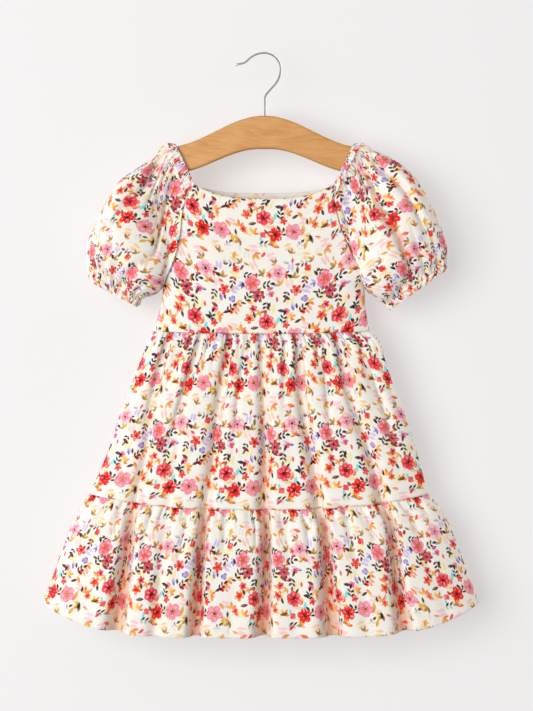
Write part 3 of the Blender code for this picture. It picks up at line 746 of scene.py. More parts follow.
def bodice_form(side, rows, columns):
    """A panel's outer face: a dome between its ends, which stand out along the raglan."""
    table = np.array(BODICE)
    number = np.linspace(0, len(table) - 1, rows)
    z, left, right, edge, front_crown, back_crown, front_dip, back_dip = smooth(
        number, np.arange(len(table)), table).T[:, :, None]
    crown, dip = (front_crown, front_dip) if side < 0 else (back_crown, back_dip)
    t = crowded(columns)[None, :]
    x = left + (right - left) * t
    z = z - dip * (1 - np.abs(2 * t - 1) ** NECK_DIP_POWER)
    rise = dome(t, SIDE_POWER)
    y = np.maximum(edge, 0.0) * (1 - rise) + (edge + crown) * rise
    return np.stack([x, side * (y + HALF_SEAM), z], -1)


def build_bodice(node, side, table, seed):
    """A bodice panel with its creases, and puckers where the skirt pulls on its seam."""
    random = np.random.default_rng(seed)
    form = bodice_form(side, *BODICE_GRID)
    core = form * (1.0, 0.0, 1.0)
    run, down = lengths(form, 1), lengths(form, 0)
    up = down[-1:] - down
    dent = creases(run, down / down[-1:], table) + gathered(run, up, random, SEAM_PUCKERS)
    dent *= ends_fade(run, 10.0)
    dent += SEAM_ROLL * (0.3 * np.exp(-up / SEAM_ROLL_REACH) + 2.0 * np.exp(-down / SEAM_ROLL_REACH))
    from_end = np.minimum(run, run[:, -1:] - run)
    raglan = 1 / (1 + np.exp((np.linspace(0, 1, len(form)) * 11 - UNDERARM_ROW + 0.5) * 6))[:, None]
    dent += raglan * SEAM_ROLL * np.exp(-from_end / SEAM_ROLL_REACH)
    points = form - outwards(form, core) * dent[..., None]
    flat = np.stack([run - run[:, run.shape[1] // 2, None], down - BODICE_PHASE], -1) * MM
    return cloth_piece(node, points, core, right_way_round(flat, side > 0, BACK_SHIFT))


bodices = [
    build_bodice("front_bodice", -1, FRONT_CREASES, 21),
    build_bodice("back_bodice", 1, BACK_CREASES, 22),
]

# %% [markdown]
# ## The sleeves
#
# A raglan puff sleeve is one wide piece of cloth. Its upper edge is drawn together by
# elastic in a casing that lies over the end of the hanger. Its slanting sides are sewn
# to the bodice, and its lower end is turned in round elastic as a narrow cuff, so the
# print runs on into it. Seen along the arm, a section is a rounded loop. The loops start
# at the armhole, swell into the puff and close in on the cuff. A column follows one
# thread of the cloth down the arm, so gathers that follow the columns fan out from the
# casing as the real ones do.

# %% Tables of the sleeves
ARCH = (
    # over the board: along the edge, and out from the middle plane
    (0.0, 0.0),
    (0.3, 5.5),
    (3.0, 8.6),
    (8.0, 10.0),
)
ARCH_FRACTIONS = (0.36, 0.68, 1.0)       # the rest of the edge, to the raglan seam
NECK_TOP_X = 115.0       # where the neck edge crosses the board
SLEEVE_TOP_X = 125.0     # where the sleeve leaves its casing there
NECK_CORNER_X = 90.0
NECK_CORNER_OUT = 13.0
CASING_STOP = 0.985
shoulder_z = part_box("shoulder_casing_left")[1].z / MM

SLEEVE_LEFT = (
    # top x, top z, under x, under z, front out, back out
    (-136.0, -123.5, -135.0, -307.0, 16.0, 15.0),
    (-151.5, -137.8, -139.0, -309.4, 25.0, 23.0),
    (-169.7, -150.8, -142.6, -311.8, 32.0, 29.0),
    (-187.9, -165.0, -146.2, -313.8, 36.5, 33.0),
    (-203.5, -187.0, -149.5, -315.0, 38.5, 35.0),
    (-215.5, -213.0, -152.8, -316.0, 37.5, 34.0),
    (-227.0, -238.0, -155.6, -317.2, 33.0, 30.0),
    (-233.0, -263.0, -158.2, -318.6, 25.5, 24.0),
    (-228.5, -286.0, -160.4, -320.6, 16.5, 16.0),
)
CUFF_LEFT = (-224.0, -297.5, -165.6, -328.9, 15.5, 15.0)
SLEEVE_RIGHT = (
    (134.6, -120.5, 133.3, -306.5, 16.0, 15.0),
    (150.2, -127.8, 137.2, -310.7, 25.0, 23.0),
    (169.7, -138.5, 141.0, -314.0, 32.0, 29.0),
    (186.6, -151.5, 144.6, -317.0, 36.5, 33.0),
    (202.2, -170.5, 147.6, -319.4, 39.0, 35.0),
    (216.5, -195.0, 150.2, -321.2, 38.0, 34.0),
    (228.2, -222.3, 152.8, -322.6, 34.0, 31.0),
    (237.0, -250.0, 155.0, -324.0, 26.5, 25.0),
    (236.5, -272.5, 157.6, -325.6, 17.5, 17.0),
)
CUFF_RIGHT = (234.7, -282.0, 163.2, -332.8, 16.5, 16.0)
ARMHOLE_OUT = 15.0       # how full the first section would be, without its seam
SLEEVE_POWER = 4.6       # how full a section round the arm is
SLEEVE_CUT = 0.380       # round the arm, in metres
CLOTH_IN_CASING = 0.72   # share of the cut width that the elastic draws together

# Creases of the puffs. Places run round the arm from the underarm seam up the front, over
# the top at 0.5 and down the back, and the start and end run down the arm.
LEFT_CREASES = (
    # places along it, start, end, width, depth
    ((0.352, 0.350, 0.345, 0.340), -0.45, 0.72, 7.5, 10.0),
    ((0.290, 0.225, 0.190, 0.170), -0.40, 0.50, 4.0, 6.0),
    ((0.455, 0.450, 0.448), -0.30, 0.50, 4.5, 4.0),
    ((0.175, 0.190, 0.215), 0.35, 1.25, 6.0, 7.0),
    ((0.305, 0.300, 0.280), 0.62, 1.25, 6.0, 5.5),
    ((0.385, 0.370, 0.350), 0.55, 1.30, 7.0, 4.0),
    ((0.250, 0.255, 0.260), 0.70, 1.30, 5.0, 4.5),
    ((0.320, 0.300), -0.35, 0.30, 3.5, 4.5),
    ((0.600, 0.620), -0.40, 0.70, 6.0, 5.4),
    ((0.670, 0.690), -0.30, 1.25, 8.0, 5.6),
    ((0.740, 0.790), 0.10, 1.25, 9.0, 5.6),
    ((0.550, 0.560), 0.20, 1.20, 7.0, 3.2),
)
RIGHT_CREASES = (
    ((0.350, 0.318, 0.278, 0.250, 0.245), -0.45, 1.05, 6.5, 17.0),
    ((0.350, 0.318, 0.278, 0.250, 0.245), -0.35, 1.00, 2.6, 6.0),
    ((0.425, 0.405, 0.378, 0.340), -0.25, 0.80, 7.0, 11.0),
    ((0.300, 0.270, 0.245), -0.35, 0.35, 3.5, 4.5),
    ((0.400, 0.385, 0.370), -0.35, 0.35, 3.5, 5.0),
    ((0.140, 0.165, 0.190), 0.35, 1.30, 7.0, 5.5),
    ((0.300, 0.290, 0.285), 0.60, 1.30, 6.0, 5.0),
    ((0.370, 0.365, 0.360), 0.65, 1.30, 5.5, 4.5),
    ((0.215, 0.205, 0.200), 0.72, 1.30, 5.0, 4.5),
    ((0.610, 0.600), -0.40, 0.75, 6.0, 5.4),
    ((0.670, 0.710), -0.30, 1.25, 8.0, 5.6),
    ((0.750, 0.780), 0.10, 1.25, 9.0, 5.2),
    ((0.545, 0.565), 0.20, 1.20, 7.0, 3.2),
)
CASING_PLAN = ((22, 4.6, 22, 60, 2.2, 0.10), (34, 2.6, 8, 28, 1.5, 0.08))
CUFF_PLAN = ((24, 4.6, 12, 42, 1.9, 0.10), (40, 2.0, 5, 15, 1.2, 0.08))


# %% The form of a sleeve
def half_edge(top, corner, corner_out):
    """Half of an edge over the board, as points of x, distance out, and z."""
    top, corner = np.array(top), np.array(corner)
    length = np.linalg.norm(corner - top)
    arch, rest = np.array(ARCH), np.array(ARCH_FRACTIONS)
    place = np.concatenate([arch[:, 0] / length, rest])
    after = np.interp(rest, (arch[-1, 0] / length, 1.0), (arch[-1, 1], corner_out))
    flat = top + (corner - top) * place[:, None]
    return np.stack([flat[:, 0], np.concatenate([arch[:, 1], after]), flat[:, 1]], -1)


def run_of(points):
    """Distance run along a line of points."""
    return np.concatenate([[0.0], np.cumsum(np.linalg.norm(np.diff(points, axis=0), axis=1))])


def casing_edges(hand):
    """Half of the neck edge and half of the outer edge of a neck casing."""
    row = BODICE[CASING_END_ROW]
    neck = half_edge((hand * NECK_TOP_X, shoulder_z), (hand * NECK_CORNER_X, BODICE[0][0]),
                     NECK_CORNER_OUT)
    outer = half_edge((hand * SLEEVE_TOP_X, shoulder_z), (row[1] if hand < 0 else row[2], row[0]),
                      row[3])
    return neck, outer


def sleeve_form(hand, table, rows, columns):
    """Loops round the arm: each blends from the armhole's own curve to a rounded section.

    c runs from 0 at the top of the arm to 1 at the underarm, on both sides. A point is
    top + (under - top) * u(c), set out by front * dome(u) or back * dome(u).
    """
    casing = casing_edges(hand)[1]
    raglan = np.array(BODICE)[CASING_END_ROW + 1:UNDERARM_ROW + 1]
    raglan = np.stack([raglan[:, 1 if hand < 0 else 2], raglan[:, 3], raglan[:, 0]], -1)
    edge = np.concatenate([casing, raglan])
    run, flat_run = run_of(edge), run_of(edge[:, [0, 2]])
    turn = np.arange(columns) / columns
    c = np.abs(1 - 2 * turn)
    on_edge = smooth(c, (0, CLOTH_IN_CASING, 1), (0, run[len(casing) - 1], run[-1]))
    start = smooth(on_edge, run, edge)
    along = np.interp(on_edge, run, flat_run / flat_run[-1])
    first = (*edge[0, [0, 2]], *edge[-1, [0, 2]], ARMHOLE_OUT, ARMHOLE_OUT)
    table = np.array([first, *table])
    s = np.linspace(0, 1, rows)
    top_x, top_z, under_x, under_z, front, back = smooth(
        s * (len(table) - 1), np.arange(len(table)), table).T[:, :, None]
    s = s[:, None]
    blend = np.clip(3.2 * s, 0, 1)
    blend = blend * blend * (3 - 2 * blend)
    u = along + (0.5 - 0.5 * np.cos(math.pi * c) - along) * blend
    bow = start[:, [0, 2]] - (edge[0, [0, 2]] + (edge[-1, [0, 2]] - edge[0, [0, 2]]) * along[:, None])
    x = top_x + (under_x - top_x) * u + bow[:, 0] * (1 - s) ** 2
    z = top_z + (under_z - top_z) * u + bow[:, 1] * (1 - s) ** 2
    full = np.where(turn < 0.5, front, back) * dome(u, SLEEVE_POWER)
    out = start[:, 1] + (full - start[:, 1]) * blend
    side = np.where(turn < 0.5, -1.0, 1.0)
    return np.stack([x, side * out, z], -1), c


def overhang(points, c, hand, sideways, outward):
    """Lets the puff stand up from the raglan seam at once and hang over it."""
    down = lengths(points, 0)
    near = (1 - np.exp(-(down / 2.5) ** 1.5)) * np.exp(-(down / 30.0) ** 2)
    near = near * np.clip((c - 0.62) / 0.2, 0, 1) * np.clip((1 - c) / 0.1, 0, 1)
    points[..., 0] -= hand * sideways * near
    points[..., 1] += np.sign(points[..., 1]) * outward * near
    return points


def room_over_board(points):
    """How deep a dent may go before the cloth would touch the board inside, in mm."""
    over = np.clip((BOARD_END - np.abs(points[..., 0])) / 4.0, 0, 1)
    over = over * np.clip((points[..., 2] - BOARD_FOOT) / 4.0, 0, 1)
    return np.maximum(np.abs(points[..., 1]) - BOARD_CLEAR, 0.1) + 30.0 * (1 - over)


def along_edge(points, hand):
    """How far along the neck edge a point lies, from the board's top, in mm: less than 0
    in front, more than 0 behind."""
    top = np.array((hand * NECK_TOP_X, shoulder_z))
    way = np.array((hand * NECK_CORNER_X, BODICE[0][0])) - top
    down = (points[..., [0, 2]] - top) @ (way / np.linalg.norm(way))
    out = np.minimum(np.abs(points[..., 1]), ARCH[-1][1])
    return np.sign(points[..., 1]) * (np.maximum(down, 0) + out)


def shirred(turn, random, count, depth):
    """Uneven ribs of an elastic casing: a wave whose steps and heights wander."""
    knots = np.linspace(0, 1, count + 1)
    shift = random.uniform(-0.3, 0.3, count + 1)
    height = random.uniform(0.55, 1.0, count + 1)
    phase = turn * count + np.interp(turn, knots, shift)
    return depth * np.interp(turn, knots, height) * np.cos(2 * math.pi * phase)


# %% Making both sleeves, their cuffs and neck casings
SLEEVE_GRID = (115, 280)
# PUFF_FOLD scales a puff's crease depth for the painted fold shade.
PUFF_FOLD = 1.4          # a puff's creases are closer than a tier's, so they count as deeper
CUFF_ROWS = 14
CUFF_RIBS = 34
CUFF_DEPTH = 0.011       # the cuff is the end of the sleeve's own cloth, so its map runs on
CUFF_ROLL = 0.15         # how far the cuff's seam sinks in, in millimetres
CASING_GRID = (12, 300)
CASING_RIBS = 44
CASING_CUT = 0.34        # cloth along the neck casing before the elastic, in metres
CASING_DEPTH = 0.012
CASING_PHASE = 0.038
CASING_SWELL = 1.4       # how far the seam under the casing is lifted by the gathers
RIB_SPAN = 100.0         # the casing's ribs are laid out as far as this along its edge, in mm
RIB_STEPS = 4000
BOARD_END = 142.0        # past the board's ends, below it, and its clear half thickness
BOARD_FOOT = -161.0
BOARD_CLEAR = 7.6
SLEEVE_PHASE = 0.070     # from the print's pale band to the cuff, in metres
LEFT_SHIFT = 0.700       # the left sleeve comes from another stretch of the print


def puff_dents(form, c, hand, crease_table, random):
    """How far creases and gathers set a puff back, which leaves the board inside free."""
    run, down = lengths(form, 1), lengths(form, 0)
    up = down[-1:] - down
    share = np.linspace(0, 1, len(form))[:, None]
    settled = (1 - np.exp(-down / 5.0)) * (1 - np.exp(-up / 4.0))
    dent = creases(run, share, crease_table, by_thread, 0.3 * hand) * settled
    inside = run[0, int((1 - CLOTH_IN_CASING) / 2 * len(c))] / run[0, -1]
    dent += gathered(run, down, random, CASING_PLAN, inside, 1 - inside)
    dent += gathered(run[::-1], up[::-1], random, CUFF_PLAN)[::-1]
    dent *= ends_fade(run, 10.0)
    room = room_over_board(form)
    return room * (1 - np.exp(-dent / room))


def casing_ribs(random):
    """Places along the neck edge, and how high the ribs of its casing stand there."""
    places = np.linspace(-RIB_SPAN, RIB_SPAN, RIB_STEPS)
    return places, shirred((places / RIB_SPAN + 1) / 2, random, CASING_RIBS, 1.05)


def build_puff(name, hand, form, c, dent, ribs, around):
    """The sleeve from its neck casing to its cuff. around is the cut cloth round the arm."""
    in_fold = dent * PUFF_FOLD
    down = lengths(form, 0)
    up = down[-1:] - down
    in_casing = np.clip((CLOTH_IN_CASING - c) / 0.06, 0.0, 1.0)
    dent = dent - in_casing * np.interp(along_edge(form, hand), *ribs) * np.exp(-(down / 11.0) ** 2)
    dent -= in_casing * CASING_SWELL * np.exp(-(down / 8.0) ** 2)
    dent += SEAM_ROLL * (1 - 0.8 * in_casing) * np.exp(-down / SEAM_ROLL_REACH)
    dent += CUFF_ROLL * np.exp(-up / SEAM_ROLL_REACH)
    core = np.broadcast_to(form.mean(axis=1, keepdims=True), form.shape)
    points = form - outwards(form, core, closed=True) * dent[..., None]
    v = SLEEVE_PHASE - np.concatenate([up, up[:, :1]], 1) * MM
    flat = right_way_round(np.stack([np.broadcast_to(around, v.shape), v], -1), hand < 0, LEFT_SHIFT)
    sleeve = cloth_piece("sleeve_" + name, points, core, flat, closed=True)
    mark_fold_shade(sleeve, in_fold)
    return sleeve


def build_cuff(name, hand, first, c, cuff, around, random):
    """A ribbed band from the sleeve's last row to the cuff's own rounded loop."""
    top_x, top_z, under_x, under_z, front, back = cuff
    turn = np.arange(len(c)) / len(c)
    even = 0.5 - 0.5 * np.cos(math.pi * c)
    out = np.where(turn < 0.5, -front, back) * dome(even, SLEEVE_POWER)
    last = np.stack([top_x + (under_x - top_x) * even, out, top_z + (under_z - top_z) * even], -1)
    r = np.linspace(0, 1, CUFF_ROWS)[:, None]
    band = first + (last - first) * r[..., None]
    core = np.broadcast_to(band.mean(axis=1, keepdims=True), band.shape)
    ribs = shirred(turn, random, CUFF_RIBS, 0.75)
    lip = np.exp(-((1 - r) / 0.10))
    puff = 1.1 * np.sin(math.pi * np.clip(r / 0.86, 0, 1))
    puff = puff + ribs * (0.45 + 0.55 * np.sin(math.pi * r) + 0.9 * lip)
    rim = CUFF_ROLL * np.exp(-r * CUFF_DEPTH / MM / SEAM_ROLL_REACH)
    points = band + outwards(band, core, closed=True) * (puff - rim)[..., None]
    flat = np.stack(np.broadcast_arrays(around, SLEEVE_PHASE + r * CUFF_DEPTH), -1)
    return cloth_piece("cuff_" + name, points, core, right_way_round(flat, hand < 0, LEFT_SHIFT),
                       closed=True)


def build_casing(name, hand, ribs):
    """A ribbed strip over the hanger's arm, from the neck edge to the sleeve."""
    rows, columns = CASING_GRID
    w = np.linspace(-1, 1, columns)
    edges = []
    for edge in casing_edges(hand):
        edge[-1] = edge[-2] + (edge[-1] - edge[-2]) * CASING_STOP
        run = run_of(edge)
        line = smooth(np.abs(w) * run[-1], run, edge)
        line[:, 1] *= np.where(w < 0, -1.0, 1.0)
        edges.append(line)
    r = np.linspace(0, 1, rows)[:, None]
    strip = edges[0] + (edges[1] - edges[0]) * r[..., None]
    core = strip * (1.0, 0.0, 1.0) - (0.0, 0.0, 30.0)
    heights = np.interp(along_edge(strip, hand), *ribs)
    puff = CASING_SWELL * r**1.5 + heights * (0.35 + 0.65 * np.clip(r * 3, 0, 1))
    points = strip + outwards(strip, core) * puff[..., None]
    flat = np.stack(np.broadcast_arrays((w + 1) / 2 * CASING_CUT, CASING_PHASE + r * CASING_DEPTH), -1)
    flat = right_way_round(flat, hand < 0, LEFT_SHIFT)
    return cloth_piece("shoulder_casing_" + name, points, core, flat)


def build_sleeve(name, hand, table, cuff, crease_table, bulge, seed):
    """A sleeve, its cuff and its neck casing, which share their edges."""
    random = np.random.default_rng(seed)
    form, c = sleeve_form(hand, table, *SLEEVE_GRID)
    form = overhang(form, c, hand, *bulge)
    dent = puff_dents(form, c, hand, crease_table, random)
    ribs = casing_ribs(random)
    loop = lengths(form, 1)[len(form) // 2]
    loop = np.append(loop, loop[-1] * (1 + 1 / len(loop)))
    around = loop / loop[-1] * SLEEVE_CUT
    puff = build_puff(name, hand, form, c, dent, ribs, around)
    band = build_cuff(name, hand, form[-1], c, cuff, around, random)
    return puff, band, build_casing(name, hand, ribs)


sleeves = [
    build_sleeve("left", -1.0, SLEEVE_LEFT, CUFF_LEFT, LEFT_CREASES, (4.5, 5.0), 31),
    build_sleeve("right", 1.0, SLEEVE_RIGHT, CUFF_RIGHT, RIGHT_CREASES, (2.0, 3.5), 32),
]

# %% The turned-in edge inside the back neck
NECK_EDGE_DROP = 12.0
NECK_EDGE_ENDS = (0.04, 0.96)
NECK_EDGE_INSET = 2.2    # from the back bodice's outer face to this strip's own face


def build_neck_edge():
    """A narrow strip that follows the back neck, 12 mm down its inner face."""
    form = bodice_form(1, *BODICE_GRID)
    columns = np.linspace(0, 1, form.shape[1])
    form = form[:, (columns > NECK_EDGE_ENDS[0]) & (columns < NECK_EDGE_ENDS[1])]
    down = lengths(form, 0)
    last = int(np.argmax(down[:, down.shape[1] // 2] > NECK_EDGE_DROP)) + 1
    strip = form[:last] - (0.0, NECK_EDGE_INSET, 0.0)
    down = down[:last]
    strip[..., 1] += 0.5 * np.exp(-down) - 0.35 * np.sin(math.pi * down / NECK_EDGE_DROP)
    flat = np.stack([strip[..., 0], down], -1) * MM
    return cloth_piece("back_neck_casing", strip, form[:last] + (0.0, 20.0, 0.0), flat)


neck_edge = build_neck_edge()

# %% [markdown]
# ## The printed cotton
#
# The cloth is a plain woven cotton with a watercolour print of flowers, leaf sprigs and
# loose leaves on a cream ground. Such a print is a repeat: one tile, 93 mm across and
# 135 mm down, printed over and over. It could be a painted picture, but then it would
# have one fixed sharpness. Here it is charted and drawn by the material itself. Each
# layer cuts the tile into cells like bricks, and a chart says what grows in each cell:
# where it sits, how it is turned, how large it is, and its dyes. Leaves and flowers are
# outlines worked out from a distance and an angle. A band across the tile is kept pale,
# so a lighter stripe comes once in every repeat.
#
# Deep in a fold, light goes to and fro between two printed sides and comes out warmer
# than a renderer's few bounces make it. The tiers and the sleeves carry a number at every
# point, how deep in a fold it lies, and the cloth's colour is tinted warmer and darker by
# that much: this is painted shade, the light of the folds painted into the print's colour.

# %% Dyes
CLOTH_LIGHT = 0.90       # the brightest that washed cotton reflects


def dye(red, green, blue):
    """A colour given as it looks, from 0 to 255, as the share of light that it reflects."""
    return tuple(CLOTH_LIGHT * (value / 255) ** 2.2 for value in (red, green, blue))


CREAM = dye(250, 249, 243)
WARM_CREAM = dye(252, 247, 234)
BLUSH = dye(252, 206, 212)
PINK = dye(250, 150, 172)
ROSE = dye(245, 88, 106)
RED = dye(240, 42, 34)
CORAL = dye(247, 86, 62)
ORANGE = dye(246, 126, 44)
MAROON = dye(136, 20, 38)
PLUM = dye(84, 24, 34)
INK = dye(36, 28, 34)
MUSTARD = dye(218, 160, 40)
OLIVE = dye(146, 104, 30)
AMBER = dye(252, 184, 68)
PEACH = dye(251, 196, 150)
LEMON = dye(251, 234, 166)
TURQUOISE = dye(128, 228, 236)
VIOLET = dye(112, 96, 206)
LILAC = dye(208, 192, 240)
print("cream reflects", [round(value, 2) for value in CREAM])

# %% Cells of the print
TILE = (93.0, 135.0)     # the repeat, in millimetres


def cells(place, across, down, lay, slide):
    """Cuts the repeat into cells laid like bricks, in "rows" or in upright "columns".

    place counts tiles, and slide moves the whole layer by shares of a cell. The results
    are each cell's number, as a share of 1, and the place from its middle in millimetres.
    """
    start = (8.0 * across + slide[0], 8.0 * down + slide[1], 0.0)
    x, y, _ = place.vector("MULTIPLY_ADD", (across, down, 0.0), start).parts()
    if lay == "rows":
        x = x + 0.5 * y.math("FLOOR").math("MODULO", 2.0)
    else:
        y = y + 0.5 * x.math("FLOOR").math("MODULO", 2.0)
    bricks = place.node("CombineXYZ", (x, y))
    wrapped = bricks.vector("FLOOR").vector("MODULO", (across, down, 1.0))
    count = across * down
    number = wrapped.vector("DOT_PRODUCT", (1 / count, 1 / down, 0.0), output="Value") + 0.5 / count
    width, height = TILE[0] / across, TILE[1] / down
    inside = bricks.vector("FRACTION").vector("MULTIPLY_ADD", (width, height, 0.0),
                                              (-width / 2, -height / 2, 0.0))
    return number, inside


def chart(number, rows):
    """A colour ramp with one flat step a row, so that a cell's number picks its row."""
    stops = [(i / len(rows), row) for i, row in enumerate(rows)]
    return number.node("ValToRGB", (number,), ramp=("CONSTANT", stops))


def planted(place, grid, slide, play, table):
    """The places of a layer's cells after each is shifted and turned as its row says.

    A row starts with its shift across and down, from -1 to 1 of the play in millimetres,
    and its turn in degrees.
    """
    number, inside = cells(place, *grid, slide)
    spot = chart(number, [((row[0] + 1) / 2, (row[1] + 1) / 2, row[2] % 360 / 360) for row in table])
    moved = spot.vector("MULTIPLY_ADD", (-2 * play[0], -2 * play[1], 0.0), inside)
    moved = moved.vector("ADD", (*play, 0.0))
    turn = spot.parts()[2] * (2 * math.pi)
    turned = moved.node("VectorRotate", {"Vector": moved, "Angle": turn}, rotation_type="Z_AXIS")
    return number, turned


def soft_edge(height, blur):
    """A mask: 0 where height is below 0, and 1 from blur upwards."""
    return height.node("MapRange", {"Value": height, "From Max": blur})


# %% Flowers of the print
# Each row: across, down, turn, radius, petals, notch, point, outer dye, inner dye, ring,
# core, core size.
LARGE_FLOWERS = (
    (-0.6, -0.45, 20, 11.5, 5, 0.28, 0.50, BLUSH, PINK, PINK, INK, 0.17),
    (0.6, 0.2, 10, 11.1, 5, 0.34, 0.50, PINK, ROSE, ORANGE, OLIVE, 0.12),
    (0.4, -0.65, 95, 10.7, 6, 0.34, 0.45, ROSE, RED, MAROON, INK, 0.15),
    (-0.4, 0.25, 60, 11.5, 5, 0.34, 0.50, PINK, PINK, ORANGE, INK, 0.14),
)
OTHER_FLOWERS = (
    (-0.75, 0.95, 140, 9.7, 7, 0.50, 0.75, MAROON, ROSE, PLUM, PLUM, 0.13),
    (-0.5, 0.65, 50, 8.0, 5, 0.54, 0.90, RED, CORAL, RED, INK, 0.14),
    (0.5, -0.85, 200, 7.4, 5, 0.56, 0.90, ORANGE, RED, RED, MAROON, 0.12),
    (-0.5, 0.40, 240, 10.3, 5, 0.38, 0.55, RED, RED, MAROON, INK, 0.15),
)
SMALL_FLOWERS = (
    (0.2, 0.9, 30, 5.5, 6, 0.50, 0.80, ORANGE, CORAL, RED, RED, 0.10),
    (-0.6, 0.9, 80, 0.0, 5, 0.50, 0.80, RED, RED, RED, RED, 0.10),
    (0.8, 0.3, 300, 5.2, 4, 0.34, 0.60, CORAL, RED, ROSE, MAROON, 0.08),
    (-0.2, -0.5, 10, 0.0, 3, 0.44, 0.70, ROSE, CORAL, CORAL, RED, 0.12),
    (0.8, 0.1, 150, 4.2, 3, 0.50, 0.80, ROSE, CORAL, RED, RED, 0.10),
    (-0.4, -0.6, 220, 5.3, 5, 0.60, 0.95, RED, CORAL, MAROON, INK, 0.14),
    (0.1, 0.8, 60, 4.8, 3, 0.40, 0.70, VIOLET, LILAC, VIOLET, VIOLET, 0.08),
    (0.6, -0.3, 100, 5.5, 5, 0.34, 0.60, CORAL, RED, RED, MAROON, 0.12),
    (-0.8, 0.5, 340, 5.9, 6, 0.50, 0.80, RED, ORANGE, CORAL, PLUM, 0.12),
    (0.3, 0.6, 20, 4.8, 4, 0.36, 0.60, PINK, ROSE, ROSE, RED, 0.10),
    (-0.1, -0.9, 180, 4.0, 3, 0.40, 0.80, RED, CORAL, RED, RED, 0.10),
    (0.9, 0.3, 250, 5.5, 5, 0.46, 0.70, ROSE, RED, MAROON, INK, 0.12),
    (-0.5, -0.8, 130, 4.6, 4, 0.34, 0.60, CORAL, ROSE, ROSE, RED, 0.10),
    (0.4, -0.9, 70, 5.3, 5, 0.50, 0.80, RED, CORAL, RED, MAROON, 0.12),
    (0.0, -0.9, 320, 4.0, 3, 0.44, 0.70, CORAL, ROSE, RED, RED, 0.12),
    (-0.7, 0.1, 200, 5.0, 6, 0.50, 0.80, ORANGE, RED, RED, RED, 0.10),
)


def flowers(place, grid, slide, play, table, under, mottle):
    """Petals round a centre: the outline lies at 1 - notch * (1 - |cos(petals a / 2)| ** point)
    of the radius, where a is the angle. Dots ring the core, as stamens do."""
    number, at = planted(place, grid, slide, play, table)
    build = chart(number, [(row[3] / 12, row[4] / 10, row[5], row[6]) for row in table])
    radius, petals, notch = build.parts()
    x, y, _ = at.parts()
    far = at.vector("LENGTH", output="Value") / (radius * 12 + 0.001)
    angle = y.math("ARCTAN2", x)
    lobe = abs((angle * petals * 5).math("COSINE"))
    outline = 1 - notch * (1 - lobe.math("POWER", build.other("Alpha")))
    outer = chart(number, [row[7] for row in table])
    inner = chart(number, [row[8] for row in table])
    ring = chart(number, [row[9] for row in table])
    core = chart(number, [(*row[10], row[11]) for row in table])
    core_size = core.other("Alpha")
    petal = inner.mixed(outer, soft_edge(far * 1.3 + mottle * 0.5 + 0.4 * lobe - 0.85, 0.7))
    petal = petal.mixed((*WARM_CREAM, 1.0), soft_edge(lobe * 0.6 + mottle - 1.05, 0.35) * 0.5)
    fold = soft_edge(0.42 - lobe, 0.4) * soft_edge(1.0 - far, 0.5)
    petal = petal.mixed(ring, fold * 0.35)
    ragged = far + (mottle - 0.5) * 0.22
    petal = petal.mixed(ring, soft_edge(core_size * 2.1 - ragged, 0.12) * 0.9)
    dots = soft_edge((angle * 9).math("COSINE") - 0.2, 0.3)
    dots = dots * soft_edge(0.07 - abs(far - core_size * 2.2), 0.03)
    centre = soft_edge(core_size - ragged, 0.05).math("MAXIMUM", dots * 0.85)
    petal = petal.mixed(core, centre * 0.95)
    return under.mixed(petal, soft_edge(outline - far, 0.07))


# %% Leaves of the print
def scattered_rows(seed, across, palettes, low, high):
    """A layer's chart: each row of cells draws places, turns, sizes and pairs of dyes
    from its own palette, where None leaves a cell bare."""
    random = np.random.default_rng(seed)
    rows = []
    for palette in palettes:
        for i in range(across):
            pair = palette[(i + random.integers(2)) % len(palette)]
            size = random.uniform(low, high) if pair else 0.0
            rows.append((*random.uniform(-1, 1, 2), random.uniform(0, 360), size, *(pair or (INK, INK))))
    return rows


def leaf(along, aside, width):
    """How far inside a leaf: width * 4p(1-p) - |aside|, with p from 0 to 1 along it."""
    return along * (1 - along) * (4 * width) - abs(aside)


def dyes_of(number, table):
    """The two dyes of each cell, and its size."""
    first = chart(number, [(*row[4], row[3]) for row in table])
    return first, chart(number, [row[5] for row in table]), first.other("Alpha") + 0.001


DARK = (INK, INK)
SPRIG_ROWS = scattered_rows(3, 4, (
    ((INK, PLUM), None, (MAROON, PLUM), DARK),
    ((PLUM, MAROON), DARK, None),
    (DARK, (OLIVE, INK), (INK, PLUM)),
    (None, (MAROON, PLUM), DARK),
    ((INK, PLUM), DARK, (PLUM, PLUM), None),
), 0.80, 1.02)
TRIO_ROWS = scattered_rows(8, 4, (
    ((OLIVE, MUSTARD), (AMBER, ORANGE), None, (MUSTARD, OLIVE)),
    ((MUSTARD, OLIVE), (AMBER, AMBER), (OLIVE, MUSTARD)),
    ((LILAC, VIOLET), (AMBER, MUSTARD), None, (LILAC, LILAC)),
    ((AMBER, MUSTARD), (VIOLET, LILAC), None, (ORANGE, AMBER)),
    ((ORANGE, AMBER), (OLIVE, MUSTARD), (AMBER, CORAL), None),
), 0.70, 1.02)
DARK_LEAF_ROWS = scattered_rows(14, 5, (
    ((PLUM, MAROON), None, DARK, (INK, OLIVE)),
    (DARK, (MAROON, ROSE), None, DARK),
    ((INK, PLUM), DARK, (MAROON, PLUM)),
    (None, DARK, (PLUM, INK)),
    (DARK, (OLIVE, PLUM), None),
    (None, None, None, DARK, None),
), 0.6, 0.96)
WARM_LEAF_ROWS = scattered_rows(21, 5, (
    ((ROSE, RED), (AMBER, MUSTARD), (CORAL, ORANGE)),
    ((OLIVE, MUSTARD), (CORAL, PEACH), (AMBER, ORANGE), None),
    ((RED, CORAL), (MUSTARD, AMBER), (VIOLET, LILAC)),
    ((AMBER, ORANGE), (ROSE, RED), (VIOLET, LILAC), (MUSTARD, OLIVE)),
    ((CORAL, RED), (AMBER, MUSTARD), (TURQUOISE, TURQUOISE), (ORANGE, AMBER), (ROSE, PEACH)),
    ((TURQUOISE, TURQUOISE), (PEACH, CORAL), (AMBER, PEACH), (MUSTARD, AMBER)),
), 0.6, 1.0)
